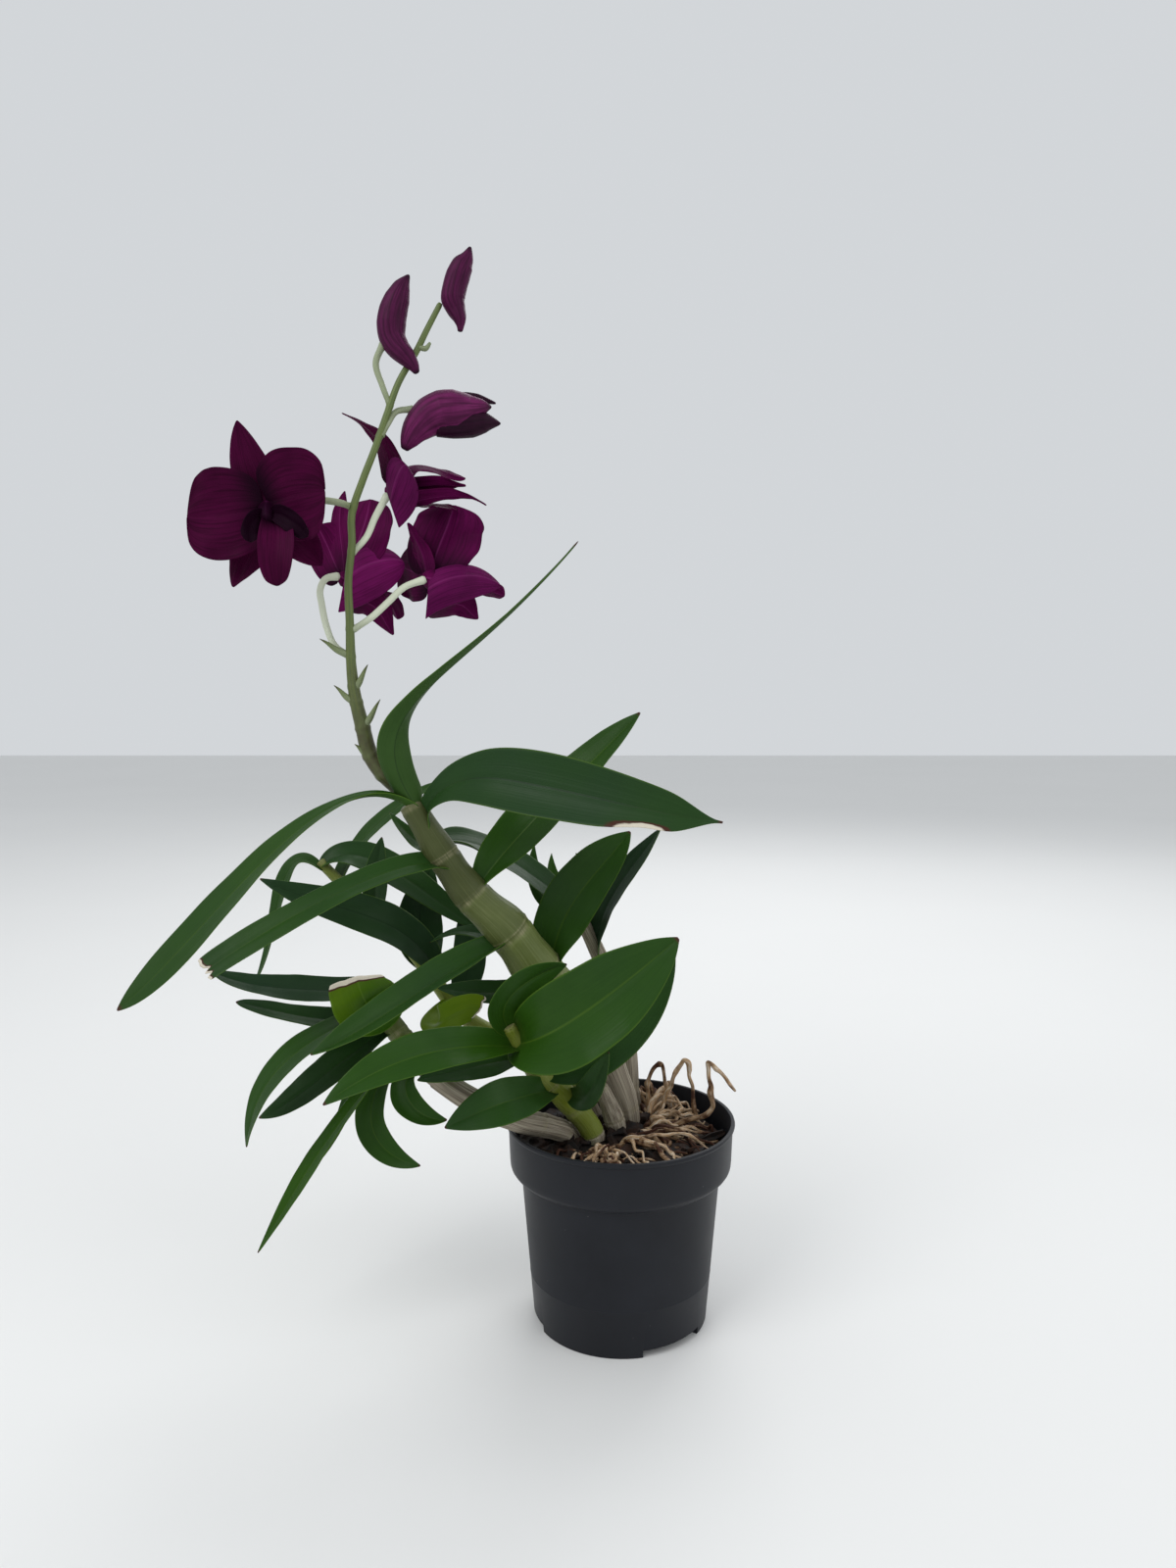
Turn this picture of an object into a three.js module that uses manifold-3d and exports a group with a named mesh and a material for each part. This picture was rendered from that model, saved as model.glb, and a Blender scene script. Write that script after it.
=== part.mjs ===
// A dendrobium orchid in a plastic nursery pot: canes, separate leaves, a flower spike with blooms and
// buds, wiry roots and bark. Units are millimetres and +Z is up. +X is to the right of the plant's show
// side and +Y runs to its back. The origin is the centre of the pot's flat underside.
import * as THREE from "three";
import { mergeVertices } from "three/addons/utils/BufferGeometryUtils.js";
import Module from "manifold-3d";

const wasm = await Module();
wasm.setup();

// ---- Driving sizes ----

const GAP = 0.3; // clear space between two touching pieces
const SEED = 11; // start of the random draws for bark chips and roots

const POT = {
  rimRadius: 52.5,
  rimHeight: 93,
  collarFoot: [50.7, 73], // radius and height where the collar turns in
  shoulder: [45.7, 68.6], // where the body ends under the collar's hollow
  baseRadius: 40,
  wall: 1.4,
  floor: 2,
  sides: 28,
};
// The notches under the pot's edge, each with a drain hole in its roof.
const NOTCH = {
  count: 3,
  firstDeg: -54,
  widthDeg: 46,
  innerRadius: 27,
  height: 3.5,
  holeRadius: 4.5,
  holeReach: 33, // from the pot's axis to a hole's centre
  holeSides: 8,
};
const BARK = {
  top: 82,
  sides: 28,
  chips: 10,
  chipSize: [15, 10, 5],
  chipReach: 39, // how far from the pot's axis chips lie
  chipHeadings: [1.5, 5.5], // radians: the side that the roots leave free
  chipTilt: 0.5,
};

const BLADE_THICK = 1.0; // at the rib of a leaf
const EDGE_THICK = 0.6; // at its margins, and for petals
const NARROW_HALF = 8.5; // blades no wider than this have two strips of faces instead of four
// A hood's spans and strips of faces, the share of its edges that it takes, the swelling at its foot and
// the step its slopes are measured over.
const HOOD = { spans: 5, strips: 3, end: 0.95, foot: 0.2, step: 0.02 };
const RIPPLE = { along: 11, across: 2 }; // radians of a petal's edge ripple over its length and half width
const TIP_SHARE = 0.035; // half width of a blade's very tip, as a share of its widest
const NODE_SWELL = [1.07, 0.97, 1.03]; // a cane's thickness at a node and a third and two thirds on
const CANE_SIDES = 8;
const STALK_SIDES = 5;
const ROOT_SIDES = 4;

const COLOURS = {
  pot: 0x2b2e33,
  bark: 0x2c1a12,
  roots: 0x9a8263,
  dryCane: 0x9c9078,
  cane: 0x7f8c4e,
  shoot: 0x7f9a2c,
  stalk: 0x7d9440,
  leaf: 0x2f5a22,
  petal: 0x5a0f4a,
  bud: 0x4d1f45,
};

// ---- Geometry kit ----

const V = (x, y, z) => new THREE.Vector3(x, y, z);
const vec = (a) => V(a[0], a[1], a[2]);
const mix = THREE.MathUtils.lerp;
const ease = (t, from, to) => THREE.MathUtils.smoothstep(t, from, to);
const steps = (count) => Array.from({ length: count + 1 }, (_, i) => i / count);

// A repeatable random number source, 0 to 1.
function dice(seed) {
  let state = seed;
  return () => {
    state = (Math.imul(state, 1664525) + 1013904223) >>> 0;
    return state / 4294967296;
  };
}

// A closed geometry from a list of points and a list of faces, each face three or four point numbers.
function geometryOf(points, faces) {
  const index = faces.flatMap((f) => (f.length === 4 ? [f[0], f[1], f[2], f[0], f[2], f[3]] : f));
  return new THREE.BufferGeometry()
    .setAttribute("position", new THREE.Float32BufferAttribute(points.flatMap((p) => [p.x, p.y, p.z]), 3))
    .setIndex(index);
}

function solidOf(geometry) {
  const bare = new THREE.BufferGeometry()
    .setAttribute("position", geometry.getAttribute("position").clone())
    .setIndex(geometry.index ? geometry.index.clone() : null);
  const merged = mergeVertices(bare, 1e-4);
  return new wasm.Manifold(
    new wasm.Mesh({
      numProp: 3,
      vertProperties: new Float32Array(merged.attributes.position.array),
      triVerts: new Uint32Array(merged.index.array),
    }),
  );
}

function geometryFrom(solid) {
  const mesh = solid.getMesh();
  const points = new Float32Array(mesh.numVert * 3);
  for (let i = 0; i < mesh.numVert; i++) {
    points.set(mesh.vertProperties.subarray(i * mesh.numProp, i * mesh.numProp + 3), i * 3);
  }
  return new THREE.BufferGeometry()
    .setAttribute("position", new THREE.BufferAttribute(points, 3))
    .setIndex(new THREE.BufferAttribute(new Uint32Array(mesh.triVerts), 1));
}

const union = (solids) => solids.reduce((all, one) => all.add(one));
const cut = (solid, tools) => tools.reduce((rest, tool) => rest.subtract(tool), solid);

// The largest of the bodies that a cut leaves.
function largest(solid) {
  const bodies = solid.decompose();
  return bodies.reduce((best, body) => (body.volume() > best.volume() ? body : best));
}

// The cubic curve through four points, met at a third and two thirds of its run, or a spline through more.
function curveThrough(points) {
  if (points.length > 4) {
    return new THREE.CatmullRomCurve3(points);
  }
  const [a, b, c, d] = points;
  const handle = (w) =>
    V(0, 0, 0)
      .addScaledVector(a, w[0] / 6)
      .addScaledVector(b, w[1] / 6)
      .addScaledVector(c, w[2] / 6)
      .addScaledVector(d, w[3] / 6);
  return new THREE.CubicBezierCurve3(a, handle([-5, 18, -9, 2]), handle([2, -9, 18, -5]), d);
}

// Half width of a blade along its rib, as a share of the widest: rise and fall shape the two ends, and
// an end below 1 leaves the far end cut across.
function outline(run, { neck, rise, fall, end = 1 }) {
  const t = run * end;
  const peak = rise / (rise + fall);
  const body = Math.pow(t / peak, rise) * Math.pow((1 - t) / (1 - peak), fall);
  return Math.max(TIP_SHARE, neck * (1 - t) ** 3 + body);
}

// A leaf, petal or sepal: a thin closed blade that follows its rib and curls across its width.
// faces: the way its upper side looks at the base and at the tip. cup: the curl in radians at both ends.
// crease: how steeply the two halves rise from the rib. wave: the height of the ripples at its margins.
function blade(shape) {
  const { rib, faces, half, form, cup, crease = 0, wave = 0, spans = 6 } = shape;
  const { thick = BLADE_THICK, edge = EDGE_THICK, strips = half > NARROW_HALF ? 4 : 2 } = shape;
  const curve = curveThrough(rib.map(vec));
  const upper = [];
  const lower = [];
  for (const t of steps(spans)) {
    const centre = curve.getPoint(t);
    const along = curve.getTangent(t);
    const face = vec(faces[0]).lerp(vec(faces[1]), t);
    face.addScaledVector(along, -face.dot(along)).normalize();
    const side = along.clone().cross(face);
    const width = half * outline(t, form);
    const curl = mix(cup[0], cup[1], ease(t, 0, 0.3)) || 1e-3;
    for (const s of steps(strips).map((u) => 2 * u - 1)) {
      const ripple = wave * Math.sin(t * RIPPLE.along + s * RIPPLE.across) * s * s * ease(t, 0.2, 0.6);
      const offset = (width * Math.sin(curl * s)) / curl;
      const lift = (width * (1 - Math.cos(curl * s))) / curl + crease * width * Math.abs(s) + ripple;
      const skin = mix(thick, edge, Math.abs(s)) / 2;
      const normal = face.clone().applyAxisAngle(along, curl * s * -1);
      const middle = centre.clone().addScaledVector(side, offset).addScaledVector(face, lift);
      upper.push(middle.clone().addScaledVector(normal, skin));
      lower.push(middle.clone().addScaledVector(normal, -skin));
    }
  }
  return bladeSkin(upper, lower, spans, strips);
}

// Closes two like grids of points, spans by strips, into one thin body.
function bladeSkin(upper, lower, spans, strips) {
  const row = strips + 1;
  const under = upper.length;
  const faces = [];
  for (let i = 0; i < spans; i++) {
    for (let j = 0; j < strips; j++) {
      const a = i * row + j;
      const [b, c, d] = [a + 1, a + row + 1, a + row];
      faces.push([a, b, c], [a, c, d]);
      faces.push([under + a, under + c, under + b], [under + a, under + d, under + c]);
    }
    const left = i * row;
    const right = left + strips;
    faces.push([left, left + row, under + left + row, under + left]);
    faces.push([right, under + right, under + right + row, right + row]);
  }
  const last = spans * row;
  for (let j = 0; j < strips; j++) {
    faces.push([j, under + j, under + j + 1, j + 1]);
    faces.push([last + j, last + j + 1, under + last + j + 1, under + last + j]);
  }
  return geometryOf([...upper, ...lower], faces);
}

// A closed round bar through a list of stations [x, y, z, radius].
function bar(stations, sides) {
  const centres = stations.map(vec);
  const points = [];
  const faces = [];
  const normal = V(0, 1, 0);
  stations.forEach((station, i) => {
    const before = centres[Math.max(0, i - 1)];
    const after = centres[Math.min(centres.length - 1, i + 1)];
    const along = after.clone().sub(before).normalize();
    normal.addScaledVector(along, -normal.dot(along)).normalize();
    const binormal = along.clone().cross(normal);
    for (let k = 0; k < sides; k++) {
      const angle = (2 * Math.PI * k) / sides;
      points.push(
        centres[i]
          .clone()
          .addScaledVector(normal, station[3] * Math.cos(angle))
          .addScaledVector(binormal, station[3] * Math.sin(angle)),
      );
    }
  });
  for (let i = 0; i < stations.length - 1; i++) {
    for (let k = 0; k < sides; k++) {
      const a = i * sides + k;
      const b = i * sides + ((k + 1) % sides);
      faces.push([a, b, b + sides, a + sides]);
    }
  }
  const last = (stations.length - 1) * sides;
  const foot = points.push(centres[0].clone()) - 1;
  const head = points.push(centres[centres.length - 1].clone()) - 1;
  for (let k = 0; k < sides; k++) {
    const next = (k + 1) % sides;
    faces.push([foot, next, k], [head, last + k, last + next]);
  }
  return geometryOf(points, faces);
}

// Stations of a smooth bar through [x, y, z, radius] guides, with all radii grown by extra.
function smooth(guides, count, extra = 0) {
  const path = new THREE.CatmullRomCurve3(guides.map(vec), false, "centripetal");
  return steps(count).map((t) => {
    const place = path.getPoint(t);
    const at = Math.min(t * (guides.length - 1), guides.length - 1.0001);
    const i = Math.floor(at);
    return [place.x, place.y, place.z, mix(guides[i][3], guides[i + 1][3], at - i) + extra];
  });
}

// The same, swollen at each node of the cane and waisted after it.
function jointed(guides, internodes, extra = 0) {
  const stations = smooth(guides, internodes * NODE_SWELL.length);
  return stations.map(([x, y, z, r], i) => [x, y, z, r * NODE_SWELL[i % NODE_SWELL.length] + extra]);
}

// ---- Pot ----

const deg = THREE.MathUtils.degToRad;
const innerBase = POT.baseRadius - POT.wall;
const beyondBase = POT.baseRadius + 5;
const roofTop = NOTCH.height + POT.floor;
const notchAngles = Array.from({ length: NOTCH.count }, (_, i) => NOTCH.firstDeg + (360 / NOTCH.count) * i);

function lathe(profile, sides) {
  const turned = new THREE.LatheGeometry(
    profile.map(([r, z]) => new THREE.Vector2(r, z)),
    sides,
  );
  return turned.rotateX(Math.PI / 2);
}

// A sector-shaped block between two radii, centred on an angle.
function sector(inner, outer, centreDeg, widthDeg, low, high) {
  const from = deg(centreDeg - widthDeg / 2);
  const to = deg(centreDeg + widthDeg / 2);
  const shape = new THREE.Shape();
  shape.absarc(0, 0, outer, from, to, false);
  shape.absarc(0, 0, inner, to, from, true);
  shape.closePath();
  const options = { depth: high - low, bevelEnabled: false, curveSegments: 2 };
  const block = new THREE.ExtrudeGeometry(shape, options);
  return solidOf(block.translate(0, 0, low));
}

// The wall leans out from the base to the shoulder, then steps out to the collar under the rim.
function potSolid() {
  const { rimRadius, rimHeight, collarFoot, shoulder, baseRadius, wall, floor, sides } = POT;
  const outside = [
    [0, 0],
    [baseRadius, 0],
    [shoulder[0] - 0.4, shoulder[1] - 1.2],
    shoulder,
    [collarFoot[0] - 1.3, collarFoot[1] - 2.2],
    collarFoot,
    [rimRadius, rimHeight - 1],
    [rimRadius, rimHeight],
  ];
  const inside = [
    [rimRadius - 2, rimHeight],
    [collarFoot[0] - wall, collarFoot[1] + 1],
    [shoulder[0] - wall, shoulder[1] + 1],
    [innerBase, floor],
    [0, floor],
  ];
  let pot = solidOf(lathe([...outside, ...inside], sides));
  for (const angle of notchAngles) {
    const { innerRadius, widthDeg, height } = NOTCH;
    const roof = sector(innerRadius - 1.5, innerBase, angle, widthDeg + 4, 0.5, roofTop);
    const notch = sector(innerRadius, beyondBase, angle, widthDeg, -1, height);
    pot = cut(pot.add(roof), [notch, drainHole(angle)]);
  }
  return pot;
}

function drainHole(angle) {
  const { holeRadius, holeReach, holeSides, height } = NOTCH;
  const hole = new THREE.CylinderGeometry(holeRadius, holeRadius, 3 * height, holeSides);
  hole.rotateX(Math.PI / 2);
  hole.translate(holeReach * Math.cos(deg(angle)), holeReach * Math.sin(deg(angle)), height);
  return solidOf(hole);
}

// ---- Canes ----

// Each cane is a list of [x, y, z, radius] guides from its root end to its tip.
const CANES = {
  main_cane: {
    guides: [
      [6, 19, 74, 5],
      [3, 17, 92, 5.5],
      [-6, 14, 116, 7],
      [-21, 8, 142, 9.5],
      [-38, 1, 162, 10.5],
      [-51, -6, 182, 9.6],
      [-67.5, -10, 199.5, 7.8],
      [-79.5, -11, 217, 6.8],
      [-93, -12.5, 240, 5.2],
    ],
    internodes: 8,
    colour: COLOURS.cane,
  },
  rear_cane: {
    guides: [
      [10, 33, 74, 3.5],
      [6, 34, 92, 4],
      [4, 36, 116, 4.5],
      [-2, 39, 140, 4],
      [-13, 42, 166, 3.5],
      [-24, 44, 186, 2.5],
      [-29, 45, 194, 2],
    ],
    internodes: 5,
    colour: COLOURS.dryCane,
  },
  front_shoot: {
    guides: [
      [-10, 0, 76, 4.5],
      [-14, -1, 88, 5],
      [-27, -8, 107, 5.5],
      [-37, -13, 119, 5],
      [-44, -18, 131, 4.5],
      [-50, -22, 143, 3],
    ],
    internodes: 4,
    colour: COLOURS.shoot,
  },
  left_cane: {
    guides: [
      [-20, 4, 79, 3.6],
      [-26, -3, 87, 4.6],
      [-34, -11, 93, 5],
      [-48, -19, 99.5, 5],
      [-72, -16, 110, 5],
      [-91, -6, 122, 5],
      [-104, 1, 135, 4.6],
      [-113, 7, 146, 3.8],
    ],
    internodes: 6,
    colour: COLOURS.dryCane,
  },
  rear_left_shoot: {
    guides: [
      [-8, 24, 76, 3.5],
      [-20, 28, 96, 4],
      [-48, 36, 114, 4],
      [-76, 35, 130, 3.6],
      [-92, 33, 152, 3.2],
      [-112, 31, 178, 2.9],
      [-131, 31, 194, 2.6],
      [-144, 32, 207, 2.2],
    ],
    internodes: 7,
    colour: COLOURS.shoot,
  },
  old_stub: {
    guides: [
      [0, 8, 76, 4],
      [-3, 7, 90, 4.5],
      [-9, 4, 106, 3],
    ],
    internodes: 2,
    colour: COLOURS.dryCane,
  },
};

function caneSolid(name, extra = 0) {
  const { guides, internodes } = CANES[name];
  return solidOf(bar(jointed(guides, internodes, extra), CANE_SIDES));
}

// ---- Leaves ----

// Outlines: even, parallel-sided, cut across, widest near the tip, and tapering from the base.
const BROAD = { neck: 0.3, rise: 0.75, fall: 0.8 };
const STRAP = { neck: 0.5, rise: 0.4, fall: 0.5 };
const TORN = { neck: 0.5, rise: 0.4, fall: 0.3, end: 0.88 };
const LATE = { neck: 0.5, rise: 2, fall: 0.8 };
const LONG = { neck: 0.38, rise: 2.8, fall: 1.6 };
const SPEAR = { neck: 0.6, rise: 0.3, fall: 0.9 };

// Each leaf: the cane it clasps, its widest half width, and four points on its rib from base to tip.
const LEAVES = {
  leaf_top_upright: {
    on: "main_cane", half: 6.2, form: SPEAR, cup: [1.3, 0.5], spans: 8,
    rib: [[-90, -16, 239], [-95.5, -22, 275], [-67, -17, 306], [-19, -8, 354]],
    faces: [[0, 0.9, 0.1], [-0.9, -0.4, 1]],
  },
  leaf_top_right: {
    on: "main_cane", half: 13.8, form: LONG, cup: [1.3, 0.3], crease: 0.1, spans: 10,
    clear: ["leaf_top_upright"],
    rib: [
      [-84, -12, 227],
      [-85, -16, 238],
      [-74, -26, 249],
      [-58, -36, 253],
      [-31, -48, 250],
      [17, -64, 241],
      [38, -66, 238],
    ],
    faces: [[-0.7, -0.6, 0.2], [0.15, -0.93, 0.35]],
  },
  leaf_top_left: {
    on: "main_cane", half: 10, form: LATE, cup: [1.3, 0.3], spans: 8,
    clear: ["leaf_top_upright", "leaf_top_right"],
    rib: [[-91, -14, 237], [-129, -24, 237], [-171, -35, 198], [-212, -44, 156]],
    faces: [[0.25, 0.1, 1], [-0.5, -0.8, 0.3]],
  },
  leaf_second_left: {
    on: "main_cane", half: 6.8, form: TORN, cup: [1.2, 0.3],
    rib: [[-77, -11, 208], [-99, -24, 212], [-139, -41, 195], [-173, -56, 174]],
    faces: [[0, -0.4, 0.9], [-0.1, -0.8, 0.6]],
  },
  leaf_third_right: {
    on: "main_cane", half: 12, form: BROAD, cup: [1.4, 0.4], crease: 0.12,
    rib: [[-64, -8.5, 202], [-44, -2, 226], [-18, 6, 252], [9, 14, 279]],
    faces: [[-0.4, -0.9, 0.3], [-0.5, -0.7, 0.5]],
  },
  leaf_rear_right: {
    on: "main_cane", half: 10.5, form: BROAD, cup: [1.2, 0.3],
    rib: [[-82, -7, 222], [-61, 16, 215], [-38, 24, 199], [-16, 30, 181]],
    faces: [[0.3, -0.4, 0.9], [0.3, -0.5, 0.8]],
  },
  leaf_bract_left: {
    on: "main_cane", half: 3.5, form: SPEAR, cup: [1, 0.4], spans: 4,
    rib: [[-83.5, -9, 217], [-93, -4, 223], [-100, 0, 229], [-105, 3, 234]],
    faces: [[0.5, -0.7, 0.5], [0.4, -0.8, 0.4]],
  },
  leaf_lower_left: {
    on: "main_cane", half: 9, form: BROAD, cup: [1.2, 0.4], crease: 0.3,
    rib: [[-46, -4, 178], [-77, -26, 166], [-104, -40, 151], [-130, -50, 139]],
    faces: [[-0.2, -0.5, 0.85], [-0.3, -0.6, 0.7]],
  },
  leaf_mid_right: {
    on: "main_cane", half: 13.5, form: BROAD, cup: [1, 0.3], crease: 0.15,
    rib: [[-32, 5, 160], [-25, 6, 186], [-11, 2, 207], [4, -2, 226]],
    faces: [[-0.5, -0.85, 0.2], [-0.3, -0.9, 0.3]],
  },
  leaf_back_right: {
    on: "rear_cane", half: 8, form: BROAD, cup: [1, 0.4],
    rib: [[-10, 41, 158], [-7, 37, 181], [5, 35, 202], [20, 33, 223]],
    faces: [[-0.7, -0.5, 0.5], [-0.6, -0.6, 0.5]],
  },
  leaf_back_tip_a: {
    on: "rear_cane", half: 4, form: SPEAR, cup: [1, 0.4], spans: 5,
    rib: [[-22, 44, 182], [-19, 45, 190], [-19, 46, 199], [-21, 46, 209]],
    faces: [[-0.6, -0.7, 0], [-0.3, -0.9, 0]],
  },
  leaf_back_tip_b: {
    on: "rear_cane", half: 4, form: SPEAR, cup: [1, 0.4], spans: 5,
    rib: [[-27, 44, 188], [-31, 47, 193], [-33, 49, 200], [-33, 51, 208]],
    faces: [[0.6, -0.7, 0.2], [0.3, -0.9, 0.2]],
  },
  leaf_back_tip_c: {
    on: "rear_cane", half: 5, form: BROAD, cup: [1, 0.4], spans: 5,
    rib: [[-18, 43, 176], [-31, 36, 184], [-40, 37, 196], [-41, 39, 214]],
    faces: [[0.4, -0.8, 0.4], [0.3, -0.9, 0]],
  },
  leaf_front_right: {
    on: "front_shoot", half: 18, form: BROAD, cup: [0.9, 0.25], crease: 0.12,
    rib: [[-46, -20, 134], [-27, -42, 148], [-3, -46, 166], [23, -40, 186]],
    faces: [[0.2, -0.9, 0.4], [0.35, -0.85, 0.4]],
  },
  leaf_front_up: {
    on: "front_shoot", half: 8, form: BROAD, cup: [1, 0.3], strips: 4, clear: ["leaf_front_right"],
    rib: [[-48, -20, 139], [-51, -28, 153], [-41, -32, 165], [-24, -29, 172]],
    faces: [[0.4, -0.9, 0], [0.3, -0.9, -0.1]],
  },
  leaf_front_left: {
    on: "front_shoot", half: 9.5, form: BROAD, cup: [1, 0.3], crease: 0.12,
    clear: ["leaf_front_right", "leaf_front_up"],
    rib: [[-44, -18, 132], [-70, -44, 140], [-95, -60, 138], [-120, -72, 126]],
    faces: [[0, -0.7, 0.7], [-0.1, -0.8, 0.6]],
  },
  leaf_front_under_left: {
    on: "front_shoot", half: 8, form: BROAD, cup: [1, 0.3],
    rib: [[-42, -16, 127], [-58, -22, 126], [-73, -26, 124], [-89, -30, 121]],
    faces: [[0, -0.5, 0.85], [-0.1, -0.6, 0.8]],
  },
  leaf_front_low_left: {
    on: "front_shoot", half: 9.5, form: BROAD, cup: [1, 0.2], crease: 0.12,
    rib: [[-30, -10, 110], [-47, -34, 114], [-60, -42, 112], [-75, -48, 107]],
    faces: [[0, -0.85, 0.5], [0, -0.85, 0.5]],
  },
  leaf_front_low_right: {
    on: "front_shoot", half: 14, form: BROAD, cup: [1, 0.3],
    rib: [[-34, -12, 119], [-13, -15, 131], [6, -12, 148], [24, -8, 170]],
    faces: [[0.2, -0.9, 0.4], [0.3, -0.85, 0.4]],
  },
  leaf_front_inner_right: {
    on: "front_shoot", half: 6, form: BROAD, cup: [1, 0.4], spans: 6,
    rib: [[-24, -7, 107], [-17, -23, 111], [-12, -31, 121], [-6, -34, 135]],
    faces: [[-0.3, -0.9, 0.3], [-0.2, -0.9, 0.2]],
  },
  leaf_curl: {
    on: "left_cane", half: 7, form: BROAD, cup: [1, 0.8],
    rib: [[-90, -6, 121], [-97, -12, 112], [-91, -18, 103], [-77, -24, 101]],
    faces: [[-0.6, -0.7, 0.2], [0, -0.8, 0.6]],
  },
  leaf_hang_short: {
    on: "left_cane", half: 7, form: BROAD, cup: [1, 0.4],
    rib: [[-98, -3, 127], [-113, -9, 102], [-108, -12, 84], [-90, -17, 77]],
    faces: [[-0.5, -0.8, 0.3], [0.3, -0.9, 0.3]],
  },
  leaf_hang_long: {
    on: "left_cane", half: 5.5, form: BROAD, cup: [1, 0.4],
    rib: [[-99, -2, 129], [-124, -25, 100], [-141, -30, 75], [-159, -34, 45]],
    faces: [[-0.7, -0.5, 0.5], [-0.6, -0.7, 0.3]],
  },
  leaf_hang_mid: {
    on: "left_cane", half: 5, form: BROAD, cup: [1, 0.4],
    rib: [[-109, 4, 140], [-122, 9, 110], [-129, 6, 91], [-140, 1, 71]],
    faces: [[-0.7, -0.5, 0.5], [-0.6, -0.7, 0.3]],
  },
  leaf_left_dark: {
    on: "left_cane", half: 8, form: BROAD, cup: [1, 0.3],
    rib: [[-104, 1, 135], [-124, -9, 124], [-141, -19, 112], [-159, -27, 103]],
    faces: [[-0.3, -0.7, 0.6], [-0.3, -0.8, 0.5]],
  },
  leaf_left_hook: {
    on: "left_cane", half: 8.5, form: BROAD, cup: [1, 0.3],
    rib: [[-110, 6, 143], [-134, -28, 138], [-152, -38, 122], [-160, -42, 96]],
    faces: [[-0.3, -0.6, 0.7], [-0.8, -0.6, 0.2]],
  },
  leaf_stub_cut: {
    on: "left_cane", half: 14, form: TORN, cup: [1.2, 0.5], spans: 5, clear: ["leaf_left_hook"],
    rib: [[-113, 6, 146], [-111, -19, 150], [-113, -26, 158], [-115, -28, 167]],
    faces: [[0, -0.6, 0.8], [0.1, -0.95, 0.1]],
  },
  leaf_far_left_rear: {
    on: "left_cane", half: 7.5, form: STRAP, cup: [1, 0.3], clear: ["leaf_stub_cut"],
    rib: [[-114, 8, 148], [-140, 13, 149], [-165, 12, 151], [-189, 8, 159]],
    faces: [[0, -0.5, 0.9], [0.2, -0.5, 0.8]],
  },
  leaf_far_left_front: {
    on: "left_cane", half: 6, form: STRAP, cup: [1, 0.3], clear: ["leaf_stub_cut"],
    rib: [[-108, 3, 139], [-131, -7, 141], [-151, -10, 145], [-173, -10, 150]],
    faces: [[0, -0.5, 0.9], [0, -0.5, 0.9]],
  },
  leaf_small_upright: {
    on: "rear_left_shoot", half: 6, form: BROAD, cup: [1, 0.4], spans: 5,
    rib: [[-117, 30, 182], [-116, 24, 193], [-114, 19, 206], [-111, 16, 221]],
    faces: [[-0.2, -0.95, 0.2], [0, -1, 0.1]],
  },
  leaf_tip_right: {
    on: "rear_left_shoot", half: 9, form: BROAD, cup: [1, 0.3],
    rib: [[-143, 31, 205], [-123, 33, 209], [-99, 36, 195], [-68, 38, 172]],
    faces: [[0, -0.5, 0.9], [0.2, -0.8, 0.5]],
  },
  leaf_tip_left: {
    on: "rear_left_shoot", half: 5, form: BROAD, cup: [1, 0.4],
    rib: [[-142, 30, 203], [-158, 30, 204], [-165, 26, 179], [-174, 22, 150]],
    faces: [[0, -0.4, 0.9], [-0.8, -0.6, 0.2]],
  },
  leaf_tip_up_right: {
    on: "rear_left_shoot", half: 5.5, form: STRAP, cup: [1, 0.3],
    rib: [[-134, 31, 197], [-127, 47, 214], [-111, 52, 230], [-90, 54, 243]],
    faces: [[-0.6, -0.6, 0.6], [-0.5, -0.6, 0.6]],
  },
  leaf_mid_left: {
    on: "rear_left_shoot", half: 9.5, form: BROAD, cup: [1, 0.3], crease: 0.1,
    rib: [[-87, 34, 148], [-103, 14, 177], [-129, 5, 190], [-164, 1, 204]],
    faces: [[0.3, -0.8, 0.5], [0.1, -0.8, 0.6]],
  },
  leaf_rear_broad: {
    on: "rear_left_shoot", half: 11, form: BROAD, cup: [1, 0.3],
    rib: [[-89, 34, 152], [-97, 40, 167], [-97, 43, 184], [-92, 46, 203]],
    faces: [[0.2, -0.95, 0.2], [0, -1, 0.1]],
  },
  leaf_rear_arch: {
    on: "main_cane", half: 4.5, form: SPEAR, cup: [1, 0.4], spans: 6,
    rib: [[-42, 5, 166], [-60, 14, 174], [-75, 18, 176], [-90, 20, 170]],
    faces: [[0, -0.5, 0.9], [-0.1, -0.6, 0.8]],
  },
  leaf_centre_yellow: {
    on: "rear_left_shoot", half: 6.8, form: TORN, cup: [1, 0.4],
    rib: [[-80, 34, 137], [-84, -4, 138], [-74, -10, 145], [-62, -13, 147]],
    faces: [[0, -0.6, 0.8], [0.1, -0.9, 0.4]],
  },
  leaf_centre_dark: {
    on: "main_cane", half: 6.5, form: BROAD, cup: [1, 0.3],
    rib: [[-30, 3, 153], [-50, 3, 151], [-66, -1, 152], [-84, -4, 155]],
    faces: [[0, -0.6, 0.8], [0, -0.7, 0.7]],
  },
  leaf_rear_right_dark: {
    on: "rear_left_shoot", half: 8, form: BROAD, cup: [1, 0.3],
    rib: [[-80, 35, 136], [-74, 38, 152], [-73, 40, 170], [-73, 42, 188]],
    faces: [[0.1, -0.95, 0.3], [0, -1, 0.1]],
  },
};

// The same leaf a little wider and thicker, to cut its own place out of a neighbour.
const grownLeaf = (leaf) =>
  solidOf(
    blade({ ...leaf, half: leaf.half + GAP, thick: BLADE_THICK + 2 * GAP, edge: EDGE_THICK + 2 * GAP }),
  );

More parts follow.
